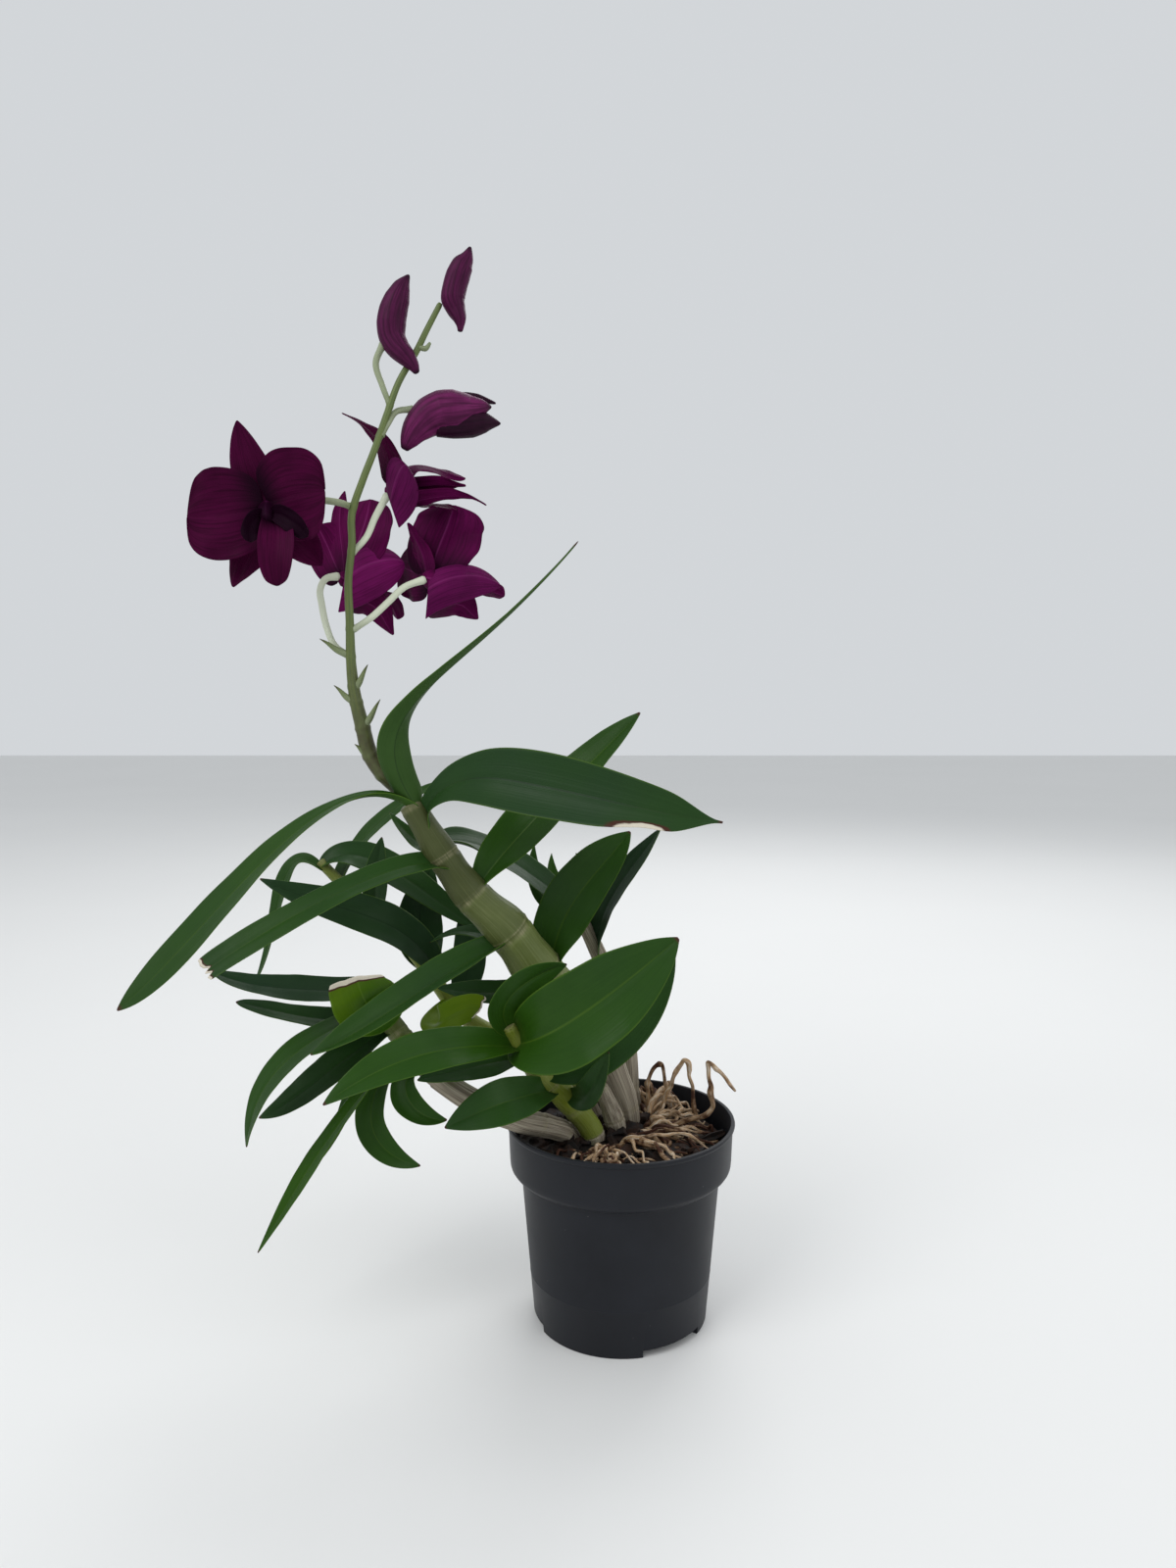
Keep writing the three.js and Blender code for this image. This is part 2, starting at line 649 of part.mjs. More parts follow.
function leafSolid(leaf) {
  const neighbours = (leaf.clear ?? []).map((name) => grownLeaf(LEAVES[name]));
  return largest(cut(solidOf(blade(leaf)), [caneSolid(leaf.on, GAP), grownSpike, ...neighbours]));
}

// ---- Flower spike ----

const SPIKE = [
  [-98, -9, 246, 3.9],
  [-105.5, -12, 254, 3.8],
  [-110.5, -12.5, 262, 3.5],
  [-113.2, -13, 273, 3.2],
  [-116.2, -13, 286, 2.7],
  [-117.8, -12.5, 300, 2.2],
  [-118.2, -12, 318, 1.8],
  [-118.5, -12, 336, 1.65],
  [-116.7, -12, 352, 1.6],
  [-116.5, -11.5, 365, 1.6],
  [-111.8, -11, 379, 1.55],
  [-106.7, -10, 392, 1.5],
  [-101.2, -8, 408, 1.5],
  [-96.5, -6.5, 421, 1.4],
  [-88.6, -5, 435, 1.4],
  [-84.5, -5, 443, 1.3],
  [-78.4, -4, 454.8, 1.2],
];

// Each flower stalk leaves the spike at its first point and ends behind its bloom or bud.
const STALKS = {
  bloom_left: [[-117, -12, 368, 1.3], [-122, -12, 369.6, 1.5], [-134, -14, 370.5, 1.5], [-147, -20, 368, 1.6]],
  bloom_rear: [
    [-119, -12, 304, 1.3],
    [-125.7, -9, 309, 1.4],
    [-130.3, -4, 317.6, 1.5],
    [-132.8, -1, 327.4, 1.5],
    [-133.7, 0.5, 333.5, 1.5],
    [-131.5, 2.5, 338.6, 1.5],
    [-126, 5, 340, 1.6],
  ],
  bloom_right: [
    [-117.5, -12, 315, 1.3],
    [-109.3, -9, 321, 1.5],
    [-103.1, -3, 327.9, 1.5],
    [-96.4, 1, 334.8, 1.5],
    [-87.5, 4, 338.5, 1.6],
  ],
  bloom_upper: [
    [-117, -11.5, 348, 1.3],
    [-111.3, -7, 355.7, 1.4],
    [-108.1, -3, 364.7, 1.5],
    [-103, 0, 375, 1.6],
  ],
  bud_half_open: [[-104, -9, 398, 1.3], [-101, -7.4, 404, 1.3], [-98, -4, 409.5, 1.3], [-91, 0, 411.5, 1.5]],
  bud_middle: [[-100, -7.5, 411, 1.2], [-103.5, -7, 420, 1.3], [-106, -7, 429, 1.4], [-102.5, -7, 437.5, 1.5]],
};
// Each bract runs from the spike to its sharp tip.
const BRACTS = [
  [[-110, -13, 260.5], [-116.5, -15, 266]],
  [[-112.5, -13.5, 273.5], [-104.8, -16, 285.5]],
  [[-116.5, -13, 284], [-125, -15, 291.5]],
  [[-116.5, -13, 289.5], [-110, -15.5, 300.5]],
  [[-119, -12, 304.5], [-131, -14, 311.5]],
];
// An aborted bud near the tip.
const TIP_NUB = [[-88.3, -5, 436.5, 1.1], [-84.8, -5.5, 435.6, 1.2], [-82.6, -6, 438, 0.6]];

function bractSolid([from, to]) {
  const [a, b] = [vec(from), vec(to)];
  const mid = a.clone().lerp(b, 0.4);
  return solidOf(bar([[...a, 1.5], [...mid, 1.5], [...b, 0.35]], 4));
}

// Guides carried on past their last point by a distance.
function extended(guides, distance) {
  const [before, end] = guides.slice(-2).map(vec);
  const tip = end.clone().addScaledVector(end.clone().sub(before).normalize(), distance);
  return [...guides.slice(0, -1), [...tip, guides[guides.length - 1][3]]];
}

function spikeSolid(extra = 0) {
  const stalk = (guides, count) => solidOf(bar(smooth(extended(guides, extra), count, extra), STALK_SIDES));
  const rachis = stalk(SPIKE, 16);
  const stalks = Object.values(STALKS).map((guides) => stalk(guides, 5));
  return union([rachis, ...stalks, ...BRACTS.map(bractSolid), solidOf(bar(TIP_NUB, 5))]);
}

const grownSpike = spikeSolid(GAP);

// ---- Blooms and buds ----

// Outlines of the sepals, petals and lips.
const SEPAL = { neck: 0.55, rise: 0.45, fall: 0.75 };
const PETAL = { neck: 0.35, rise: 0.55, fall: 0.38 };
const LIP = { neck: 0.4, rise: 0.6, fall: 0.4 };

// Each bloom: its heart, a bar of [x, y, z, radius] stations from the stalk to the lip's foot; its
// petals, sepals and lip lobes, as leaves are given; and its hoods, the side sepals that close round the
// chin, each between an upper and a lower edge and swollen by bulge.
const BLOOMS = {
  bloom_left: {
    heart: [[-149, -19, 367, 2], [-149, -24, 364.5, 4.4], [-148, -30, 361.5, 4], [-147, -34, 359, 2.4]],
    blades: [
      {
        half: 7.6, form: SEPAL, faces: [[0.2, -0.97, -0.1], [0.2, -0.97, -0.1]],
        rib: [[-150.5, -26, 367], [-154, -27, 378], [-157, -28, 388.5], [-159.3, -30, 400]],
      },
      {
        half: 18.5, form: PETAL, faces: [[-0.1, -0.95, -0.1], [-0.25, -0.95, 0]], wave: 1,
        rib: [[-150, -26, 365.7], [-160, -31, 362.8], [-170.4, -33, 361], [-179.7, -34, 360.8]],
      },
      {
        half: 18.7, form: PETAL, faces: [[0.1, -0.95, -0.1], [0.45, -0.85, -0.1]], wave: 1,
        rib: [[-149, -26, 367.3], [-140.5, -30, 369], [-132.5, -30, 370.8], [-124.5, -26, 372]],
      },
      {
        half: 8.5, form: SEPAL, faces: [[-0.2, -0.95, 0.2], [-0.2, -0.95, 0.1]],
        rib: [[-150.5, -24, 361], [-155.3, -23, 351.7], [-159.7, -24, 342.1], [-163.5, -28, 332.4]],
      },
      {
        half: 8, form: SEPAL, faces: [[0.3, -0.9, 0.2], [0.2, -0.95, 0.1]],
        rib: [[-146.5, -23, 361], [-139.5, -20, 354], [-133.5, -19, 348], [-128, -20, 342]],
      },
      {
        half: 7.4, form: LIP, faces: [[0.1, -0.5, 0.85], [0.1, -0.98, 0.1]], cup: [1.2, 0.5],
        rib: [[-146.5, -30, 360], [-142, -38, 353.5], [-141.4, -42, 344], [-141.3, -41, 331.7]],
      },
      {
        half: 4.5, form: LIP, faces: [[-0.8, -0.5, 0.2], [-0.5, -0.8, 0.2]], cup: [0.8, 0.5],
        rib: [[-146, -30, 362.5], [-139.5, -36, 360.5], [-133.7, -38, 356.5], [-129.3, -38, 351.8]],
      },
      {
        half: 4.5, form: LIP, faces: [[0.9, -0.4, 0.2], [0.6, -0.8, 0.2]], cup: [0.8, 0.5],
        rib: [[-149, -31, 361.5], [-151, -37, 358.5], [-152, -41, 354], [-151, -43, 349]],
      },
    ],
  },
  bloom_rear: {
    heart: [[-126, 5, 340.5, 2], [-124, 7, 339, 3.8], [-120, 11, 336.5, 3.6], [-117, 14, 334.5, 2]],
    blades: [
      {
        half: 5.8, form: SEPAL, faces: [[0.3, 0.95, 0], [0.2, 0.97, -0.1]],
        rib: [[-124.2, 7, 340], [-126.1, 12, 354.6], [-127.4, 15, 366.3], [-125.4, 17, 379.3]],
      },
      {
        half: 14, form: PETAL, faces: [[0.4, 0.9, 0], [0.4, 0.9, -0.1]], wave: 1,
        rib: [[-123.3, 7, 341], [-119.3, 10, 352.7], [-115.5, 12, 363.4], [-112.9, 13, 374.9]],
      },
      {
        half: 11, form: PETAL, faces: [[0.2, 0.95, -0.1], [0.1, 0.97, -0.2]], wave: 1,
        rib: [[-125.2, 7, 339.5], [-129.8, 12, 347.4], [-133.5, 14, 355.2], [-137.6, 14, 363.5]],
      },
      {
        half: 7, form: SEPAL, faces: [[0.2, 0.8, 0.5], [0.1, 0.9, 0.3]],
        rib: [[-124, 7, 329], [-114.1, 14, 328.4], [-109.4, 17, 323.3], [-104.5, 18, 314.4]],
      },
      {
        half: 7, form: LIP, faces: [[0.3, 0.3, 0.9], [0.6, 0.7, 0.3]], cup: [1, 0.4],
        rib: [[-119.4, 12, 335.4], [-113, 20, 333], [-107, 25, 329], [-104, 28, 322]],
      },
    ],
    hoods: [
      {
        upper: [[-123, 5.5, 342], [-117.6, 7, 351.4], [-107.8, 11, 353.6], [-98.2, 14, 346.5]],
        lower: [[-127, 5, 323.9], [-116.3, 7, 327.1], [-103.7, 11, 335.3], [-98.2, 14, 346.5]],
        bulge: [1.2, -5.2, 0.8],
      },
    ],
  },
  bloom_right: {
    clear: ["bloom_rear", "bloom_upper"],
    heart: [[-88.3, 4.6, 339.5, 2], [-86, 7, 339, 4.6], [-82, 11, 338, 3.6], [-78, 14, 337.5, 2]],
    blades: [
      {
        half: 4.6, form: SEPAL, faces: [[0.7, 0.7, 0], [0.7, 0.7, 0.1]],
        rib: [[-86.8, 7, 340], [-88.9, 10, 349.3], [-92.2, 12, 356.5], [-96.5, 13, 364.5]],
      },
      {
        half: 18, form: PETAL, faces: [[0.3, 0.95, 0], [0.3, 0.9, -0.3]], wave: 1,
        rib: [[-85.4, 8, 341], [-82, 13, 354], [-78.5, 16, 364], [-75.5, 18, 373]],
      },
      {
        half: 14, form: PETAL, faces: [[0.6, 0.7, 0.1], [0.7, 0.65, 0]], wave: 1,
        rib: [[-87.2, 8, 339.5], [-93.4, 15, 342.5], [-98.3, 21, 344.9], [-102.7, 26, 347.6]],
      },
      {
        half: 6.5, form: SEPAL, faces: [[0.2, 0.8, 0.5], [0.1, 0.9, 0.3]],
        rib: [[-86.6, 6, 325], [-75.1, 16, 328.6], [-69.9, 18, 326], [-65.5, 19, 321.8]],
      },
      {
        half: 6.5, form: LIP, faces: [[0.2, 0.3, 0.9], [0.5, 0.7, 0.4]], cup: [1, 0.4],
        rib: [[-80, 13, 338], [-72, 18, 337.5], [-63, 21, 336], [-53.5, 22, 332.4]],
      },
    ],
    hoods: [
      {
        upper: [[-86.2, 6, 341.6], [-79.1, 7, 344.5], [-67.1, 10, 345.2], [-54.1, 12, 336]],
        lower: [[-87.8, 4, 320.6], [-77.4, 6, 326.6], [-65.4, 9, 330.7], [-54.1, 12, 336]],
        bulge: [1, -5, 0.5],
      },
    ],
  },
  bloom_upper: {
    clear: ["bloom_rear"],
    heart: [[-103.5, -0.5, 376, 2], [-101.5, 1, 376.5, 3.6], [-97, 3, 377, 3.6], [-92, 4, 377.5, 2]],
    blades: [
      {
        half: 5.5, form: SPEAR, faces: [[0.7, -0.7, 0.3], [0.5, -0.55, 0.6]],
        rib: [[-101, 1, 378], [-103, 3, 392], [-110.4, 4, 403], [-123.4, 4, 410.8]],
      },
      {
        half: 6.2, form: SEPAL, faces: [[0.1, 0.3, -0.9], [0.1, 0.5, -0.85]],
        rib: [[-100, 4, 379], [-92, 9, 388.5], [-81, 12, 387], [-70, 12, 383.8]],
      },
      {
        half: 4.2, form: SEPAL, faces: [[0.1, 0.6, 0.8], [0.1, 0.6, 0.8]],
        rib: [[-99, 3, 377], [-86, 2, 379.5], [-77, 1, 379.5], [-68.8, 2, 379]],
      },
      {
        half: 5, form: SPEAR, faces: [[0, 0.4, 0.9], [0.1, 0.3, 0.9]],
        rib: [[-98, 1, 370.5], [-84, -2, 373.5], [-71, -2, 374.3], [-59.7, 0, 370.1]],
      },
      {
        half: 6, form: SEPAL, faces: [[0.2, -0.4, 0.9], [0, -0.3, 0.95]],
        rib: [[-98, 4, 374], [-91, 10, 372], [-83, 13, 372], [-74, 13, 370]],
      },
    ],
    hoods: [
      {
        upper: [[-103.4, -1, 377], [-102.6, -4, 385.4], [-99.5, -5, 390], [-93, -6, 385.7]],
        lower: [[-98, -2, 360], [-90.9, -4, 367.3], [-88.5, -6, 375.4], [-93, -6, 385.7]],
        bulge: [0, -4, 0.5],
      },
    ],
  },
};

// A tepal as a blade, grown by extra.
const tepal = (shape, extra) =>
  blade({
    cup: [0.5, 0.2],
    spans: shape.half > 9 ? 5 : 4,
    strips: shape.half > 9 ? 4 : 2,
    ...shape,
    half: shape.half + extra,
    thick: EDGE_THICK + 2 * extra,
    edge: EDGE_THICK + 2 * extra,
  });

// A hood grown by extra: a thin body between its two edges, which meet at its tip.
function hoodBody({ upper, lower, bulge }, extra) {
  const [top, bottom] = [upper, lower].map((points) => curveThrough(points.map(vec)));
  const at = (u, t) =>
    bottom
      .getPoint(t * HOOD.end)
      .lerp(top.getPoint(t * HOOD.end), u)
      .addScaledVector(vec(bulge), Math.sin(Math.PI * u) * Math.sin(Math.PI * mix(HOOD.foot, 1, t)));
  const outer = [];
  const inner = [];
  for (const t of steps(HOOD.spans)) {
    for (const u of steps(HOOD.strips)) {
      const across = at(Math.min(u + HOOD.step, 1), t).sub(at(Math.max(u - HOOD.step, 0), t));
      const along = at(u, Math.min(t + HOOD.step, 1)).sub(at(u, Math.max(t - HOOD.step, 0)));
      const normal = along.cross(across).normalize();
      outer.push(at(u, t).addScaledVector(normal, EDGE_THICK / 2 + extra));
      inner.push(at(u, t).addScaledVector(normal, -EDGE_THICK / 2 - extra));
    }
  }
  return bladeSkin(outer, inner, HOOD.spans, HOOD.strips);
}

function bloomSolid({ heart, blades, hoods = [] }, extra = 0) {
  const core = heart.map(([x, y, z, r]) => [x, y, z, r + extra]);
  const pieces = [bar(core, 6), ...blades.map((shape) => tepal(shape, extra))];
  return union([...pieces, ...hoods.map((shape) => hoodBody(shape, extra))].map(solidOf));
}

// A bud: one boot-shaped bar of closed sepals, from its chin to its tip, and any petals that show past
// it, each a list of [x, y, z, radius].
const BUDS = {
  bud_half_open: [
    [
      [-95.5, 0, 394.2, 1.6],
      [-93.4, 0, 398, 4.1],
      [-90, 0, 403, 6.4],
      [-84.5, 1, 408, 8.6],
      [-79, 2, 410.3, 9.6],
      [-73, 2, 411, 9.2],
      [-66.5, 3, 412, 6.6],
      [-61, 3, 413, 3.4],
      [-57.5, 4, 413.4, 0.5],
    ],
    [[-82, 1, 406, 6], [-74, 2, 405.6, 6.2], [-66, 3, 406, 6], [-60, 3.5, 406.6, 4.4], [-53.5, 4, 406.2, 0.5]],
    [[-76, 3, 414, 4], [-71, 4, 417, 2.6], [-64, 6, 417.4, 2.2], [-55.8, 7, 415.6, 0.5]],
  ],
  bud_middle: [
    [
      [-88.2, -8, 424.7, 1.2],
      [-90, -8, 428, 2.8],
      [-93, -8, 431.6, 4.2],
      [-96.5, -7.5, 435.6, 5.2],
      [-98.8, -7, 440, 5.8],
      [-99.1, -7, 445.5, 6.3],
      [-98.1, -7, 451, 6.1],
      [-96.3, -7, 456, 5.4],
      [-94.2, -7, 461, 3.6],
      [-91.3, -7, 465.6, 0.6],
    ],
  ],
  bud_top: [
    [
      [-70, -5, 442.8, 1],
      [-69.8, -5, 445, 1.6],
      [-70.2, -5, 448.4, 3],
      [-71.8, -4, 452.5, 4.2],
      [-73, -4, 456.8, 5.2],
      [-72.2, -4, 461.5, 5.2],
      [-70.7, -4, 466.4, 5.2],
      [-68.7, -4, 470.8, 4.6],
      [-66.9, -4, 473.8, 3],
      [-65.3, -4, 478.2, 0.6],
    ],
  ],
};

const budSolid = (bars) =>
  union(bars.map((guides, i) => solidOf(i ? bar(guides, 5) : bar(smooth(guides, guides.length), 8))));

// ---- Roots and bark ----

// The creeping stem that the roots grow from, and three roots that loop above the rim.
const RHIZOME = [
  [20, 36, 78, 4],
  [14, 21, 78, 4.5],
  [9, 6, 78, 4.5],
  [-2, -8, 78, 4.5],
  [-10, -18, 78, 3.5],
];
const LOOPS = [
  [
    [16, 24, 79, 1.2],
    [22, 25, 92, 1.3],
    [26, 23, 103, 1.1],
    [31.5, 22, 112, 1.2],
    [34, 22, 104, 1],
    [36, 19, 90, 1],
    [38, 16, 80, 0.9],
  ],
  [
    [12, 8, 79, 1.3],
    [30, 6, 88, 1.2],
    [42.5, 3, 96, 1.4],
    [41.5, 2, 107, 1.1],
    [40.5, 2, 117.5, 1.2],
    [46, 1, 113.5, 1],
    [53, 0, 105, 0.7],
  ],
  [
    [16, 28, 79, 1.2],
    [14, 29, 94, 1.1],
    [16.5, 30, 104, 1.2],
    [21, 30, 107.5, 1],
    [23, 29, 98, 1],
    [28, 27, 80, 0.9],
  ],
];
const ROOTS = { count: 13, radius: 1.3, reach: [38, 46], lift: [3, 9], fan: [1.5, -1.5], swing: 4 };

// One root of a fan that runs from the back to the front of the pot; share is its place in the fan.
function looseRoot(share, random) {
  const heading = mix(ROOTS.fan[0], ROOTS.fan[1], share) + mix(-0.1, 0.1, random());
  const reach = mix(ROOTS.reach[0], ROOTS.reach[1], random());
  const foot = new THREE.CatmullRomCurve3(RHIZOME.map(vec)).getPoint(mix(0.05, 0.9, share));
  const end = V(reach * Math.cos(heading), reach * Math.sin(heading), BARK.top + 2);
  const lift = BARK.top + mix(ROOTS.lift[0], ROOTS.lift[1], random());
  const swing = mix(-ROOTS.swing, ROOTS.swing, random());
  const side = V(-Math.sin(heading), Math.cos(heading), 0);
  const at = (t, z) => foot.clone().lerp(end, t).addScaledVector(side, swing * Math.sin(t * 6)).setZ(z);
  const middle = [at(0.25, BARK.top + 3), at(0.55, lift), at(0.85, BARK.top + 2.5)];
  return [foot, ...middle, end].map((p) => [p.x, p.y, p.z, ROOTS.radius * mix(0.75, 1.15, random())]);
}

function rootSolids(extra = 0) {
  const random = dice(SEED);
  const loose = Array.from({ length: ROOTS.count }, (_, i) => looseRoot(i / (ROOTS.count - 1), random));
  const wires = [...LOOPS, ...loose].map((guides) => solidOf(bar(smooth(guides, 5, extra), ROOT_SIDES)));
  return union([solidOf(bar(smooth(RHIZOME, 6, extra), 6)), ...wires]);
}

function barkSolid() {
  const { collarFoot, shoulder, wall, floor, rimRadius } = POT;
  const clear = wall + 2 * GAP;
  const profile = [
    [0, floor + GAP],
    [innerBase - 2 * GAP, floor + GAP],
    [shoulder[0] - clear, shoulder[1] + 1],
    [collarFoot[0] - clear - GAP, collarFoot[1] + 3],
    [rimRadius - 2 - clear, BARK.top - 1],
    [0, BARK.top],
  ];
  const random = dice(SEED + 1);
  const chips = Array.from({ length: BARK.chips }, () => chipSolid(random));
  const lifts = notchAngles.map((angle) =>
    sector(NOTCH.innerRadius - 1.5 - GAP, beyondBase, angle, NOTCH.widthDeg + 6, 0, roofTop + GAP),
  );
  return cut(union([solidOf(lathe(profile, BARK.sides)), ...chips]), lifts);
}

function chipSolid(random) {
  const size = BARK.chipSize.map((side) => side * mix(0.6, 1.2, random()));
  const angle = mix(BARK.chipHeadings[0], BARK.chipHeadings[1], random());
  const reach = BARK.chipReach * Math.sqrt(random());
  const tilt = () => mix(-BARK.chipTilt, BARK.chipTilt, random());
  const chip = new THREE.BoxGeometry(...size);
  chip.rotateX(tilt()).rotateY(tilt()).rotateZ(Math.PI * random());
  chip.translate(reach * Math.cos(angle), reach * Math.sin(angle), BARK.top - 0.6);
  return solidOf(chip);
}

// ---- The plant ----

const plant = new THREE.Group();
plant.name = "dendrobium_orchid";

function add(name, solid, colour, roughness = 0.5) {
  const material = new THREE.MeshStandardMaterial({ color: colour, roughness, metalness: 0 });
  const mesh = new THREE.Mesh(geometryFrom(solid), material);
  mesh.name = name;
  plant.add(mesh);
}

const caneNames = Object.keys(CANES);
const grownCanes = caneNames.map((name) => caneSolid(name, GAP));

add("pot", potSolid(), COLOURS.pot, 0.6);
add("bark", largest(cut(barkSolid(), [...grownCanes, rootSolids(GAP)])), COLOURS.bark, 1);
add("dry_roots", largest(cut(rootSolids(), grownCanes)), COLOURS.roots, 0.9);
for (const name of caneNames) {
  add(name, caneSolid(name), CANES[name].colour);
}
for (const [name, leaf] of Object.entries(LEAVES)) {
  add(name, leafSolid(leaf), COLOURS.leaf, 0.4);
}
add("flower_spike", largest(cut(spikeSolid(), [caneSolid("main_cane", GAP)])), COLOURS.stalk);
for (const [name, bloom] of Object.entries(BLOOMS)) {
  const neighbours = (bloom.clear ?? []).map((other) => bloomSolid(BLOOMS[other], GAP));
  add(name, largest(cut(bloomSolid(bloom), [grownSpike, ...neighbours])), COLOURS.petal);
}
for (const [name, bud] of Object.entries(BUDS)) {
  add(name, largest(cut(budSolid(bud), [grownSpike])), COLOURS.bud);
}

export default plant;
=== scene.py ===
"""A dendrobium orchid in its nursery pot, dressed as a finished plant.

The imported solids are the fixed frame. Each operator builds one kind of piece over them, at the same
place and with the same form: the pot, the bark, the roots, the canes, the leaves, the flower spike,
the blooms and the buds. Shapes are worked out in millimetres and stored in metres.
"""

import math
import random
from types import SimpleNamespace

import bpy
from bpy.props import FloatProperty, FloatVectorProperty, IntProperty, PointerProperty
from bpy.types import NodeSocket, Operator, Panel, PropertyGroup
from mathutils import Matrix, Vector, noise


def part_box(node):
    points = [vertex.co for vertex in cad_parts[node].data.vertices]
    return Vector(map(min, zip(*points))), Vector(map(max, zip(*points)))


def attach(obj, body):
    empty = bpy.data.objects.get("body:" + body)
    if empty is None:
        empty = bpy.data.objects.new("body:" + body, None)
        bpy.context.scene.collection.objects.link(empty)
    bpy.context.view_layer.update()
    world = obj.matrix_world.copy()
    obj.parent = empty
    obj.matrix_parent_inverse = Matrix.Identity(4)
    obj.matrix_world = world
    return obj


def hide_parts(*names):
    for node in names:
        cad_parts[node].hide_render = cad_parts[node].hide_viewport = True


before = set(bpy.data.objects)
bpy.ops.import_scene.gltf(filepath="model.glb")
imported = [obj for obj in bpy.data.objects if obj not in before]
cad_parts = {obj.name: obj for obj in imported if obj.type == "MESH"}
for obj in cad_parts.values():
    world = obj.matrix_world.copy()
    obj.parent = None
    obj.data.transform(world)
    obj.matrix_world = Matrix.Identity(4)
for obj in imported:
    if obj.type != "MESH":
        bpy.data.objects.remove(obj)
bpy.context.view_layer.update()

bl_info = {
    "name": "Potted Dendrobium",
    "version": (1, 0, 0),
    "blender": (4, 5, 0),
    "location": "3D View > Sidebar > Orchid",
    "description": "Builds a dendrobium orchid in its pot, piece by piece",
    "category": "Object",
}

MM = 0.001


# ---- Shape kit ----

STEP = 0.004  # share of a curve over which its direction is taken
BLUNT = 0.75  # share of its radius that a bar keeps next to its closed ends
CENTRE = 0.4  # radius of the small face that closes a turned piece on its axis


def mix(a, b, t):
    return a + (b - a) * t


def ease(t, low, high):
    """0 below low, 1 above high, and smooth between."""
    x = min(max((t - low) / (high - low), 0), 1)
    return x * x * (3 - 2 * x)


def hump(t, centre, reach):
    """1 at the centre, falling smoothly to 0 at reach from it."""
    return 1 - ease(abs(t - centre), 0, reach)


def spline(points):
    """The place at t, from 0 to 1, on a smooth curve through all the points."""
    inner = [Vector(p[:3]) for p in points]
    knots = [2 * inner[0] - inner[1], *inner, 2 * inner[-1] - inner[-2]]
    last = len(inner) - 1

    def at(t):
        x = min(max(t, 0), 1) * last
        i = min(int(x), last - 1)
        w = x - i
        a, b, c, d = knots[i : i + 4]
        ab, bc, cd = (math.sqrt((q - p).length) for p, q in ((a, b), (b, c), (c, d)))
        out = ((b - a) / ab - (c - a) / (ab + bc) + (c - b) / bc) * bc
        into = ((c - b) / bc - (d - b) / (bc + cd) + (d - c) / cd) * bc
        bend = 3 * (c - b) - 2 * out - into
        return b + out * w + bend * w**2 + (2 * (b - c) + out + into) * w**3

    return at


def rib_through(points):
    """The cubic curve through four points, met at thirds of its run, or a spline through more."""
    if len(points) > 4:
        return spline(points)
    a, b, c, d = (Vector(p) for p in points)
    near = (-5 * a + 18 * b - 9 * c + 2 * d) / 6
    far = (2 * a - 9 * b + 18 * c - 5 * d) / 6

    def at(t):
        r = 1 - t
        return a * r**3 + near * 3 * t * r**2 + far * 3 * t**2 * r + d * t**3

    return at


def heading(curve, t):
    """The direction of a curve at t."""
    return (curve(min(t + STEP, 1)) - curve(max(t - STEP, 0))).normalized()


def guide_value(guides, t):
    """The fourth number of the guides, at t along them."""
    x = min(max(t, 0), 1) * (len(guides) - 1)
    i = min(int(x), len(guides) - 2)
    return mix(guides[i][3], guides[i + 1][3], x - i)


def ripple(x, y=0.0, z=0.0):
    """Smooth noise, about -1 to 1."""
    return noise.noise(Vector((x, y, z)))


def same(value):
    """Paint that is the same all over a piece."""
    return lambda *place: value


def shaded(colour, factor):
    """A colour made darker or brighter."""
    return tuple(channel * factor for channel in colour)


def alone(piece):
    """Selects this piece and nothing else."""
    bpy.ops.object.select_all(action="DESELECT")
    piece.select_set(True)
    bpy.context.view_layer.objects.active = piece


def sheet(name, columns, rows, place, paint=None):
    """A grid with its corners put where place(u, v) says. paint gives its float attributes."""
    bpy.ops.object.select_all(action="DESELECT")
    bpy.ops.mesh.primitive_grid_add(x_subdivisions=columns, y_subdivisions=rows, size=2)
    piece = bpy.context.active_object
    piece.name = name
    spots = [((vertex.co.x + 1) / 2, (vertex.co.y + 1) / 2) for vertex in piece.data.vertices]
    for vertex, (u, v) in zip(piece.data.vertices, spots):
        vertex.co = place(u, v) * MM
    for label, value in (paint or {}).items():
        layer = piece.data.attributes.new(label, "FLOAT", "POINT")
        layer.data.foreach_set("value", [value(u, v) for u, v in spots])
    return piece


def sew(piece):
    """Merges the corners that meet and turns all faces outwards."""
    alone(piece)
    bpy.ops.object.mode_set(mode="EDIT")
    bpy.ops.mesh.select_all(action="SELECT")
    bpy.ops.mesh.remove_doubles(threshold=1e-6)
    bpy.ops.mesh.normals_make_consistent(inside=False)
    bpy.ops.object.mode_set(mode="OBJECT")


def modify(piece, kind, **settings):
    """Adds a modifier and applies it."""
    alone(piece)
    modifier = piece.modifiers.new(kind.title(), kind)
    for key, value in settings.items():
        setattr(modifier, key, value)
    bpy.ops.object.modifier_apply(modifier=modifier.name)


def thicken(piece, thickness, edge_share=0.5):
    """Gives a sheet its thickness, thinner at the margins, and rounds it off."""
    group = piece.vertex_groups.new(name="body")
    for i, weight in enumerate(edge_weights(piece)):
        group.add([i], weight, "REPLACE")
    modify(
        piece,
        "SOLIDIFY",
        thickness=thickness,
        offset=0,
        vertex_group=group.name,
        thickness_vertex_group=edge_share,
        material_offset=1,
    )
    modify(piece, "SUBSURF", levels=1, render_levels=1)


def edge_weights(piece):
    """1 at a sheet's middle line, 0 at its side margins, from its UV map."""
    weights = [0.0] * len(piece.data.vertices)
    uv = piece.data.uv_layers.active.data
    for loop in piece.data.loops:
        weights[loop.vertex_index] = 1 - (2 * uv[loop.index].uv.x - 1) ** 2
    return weights


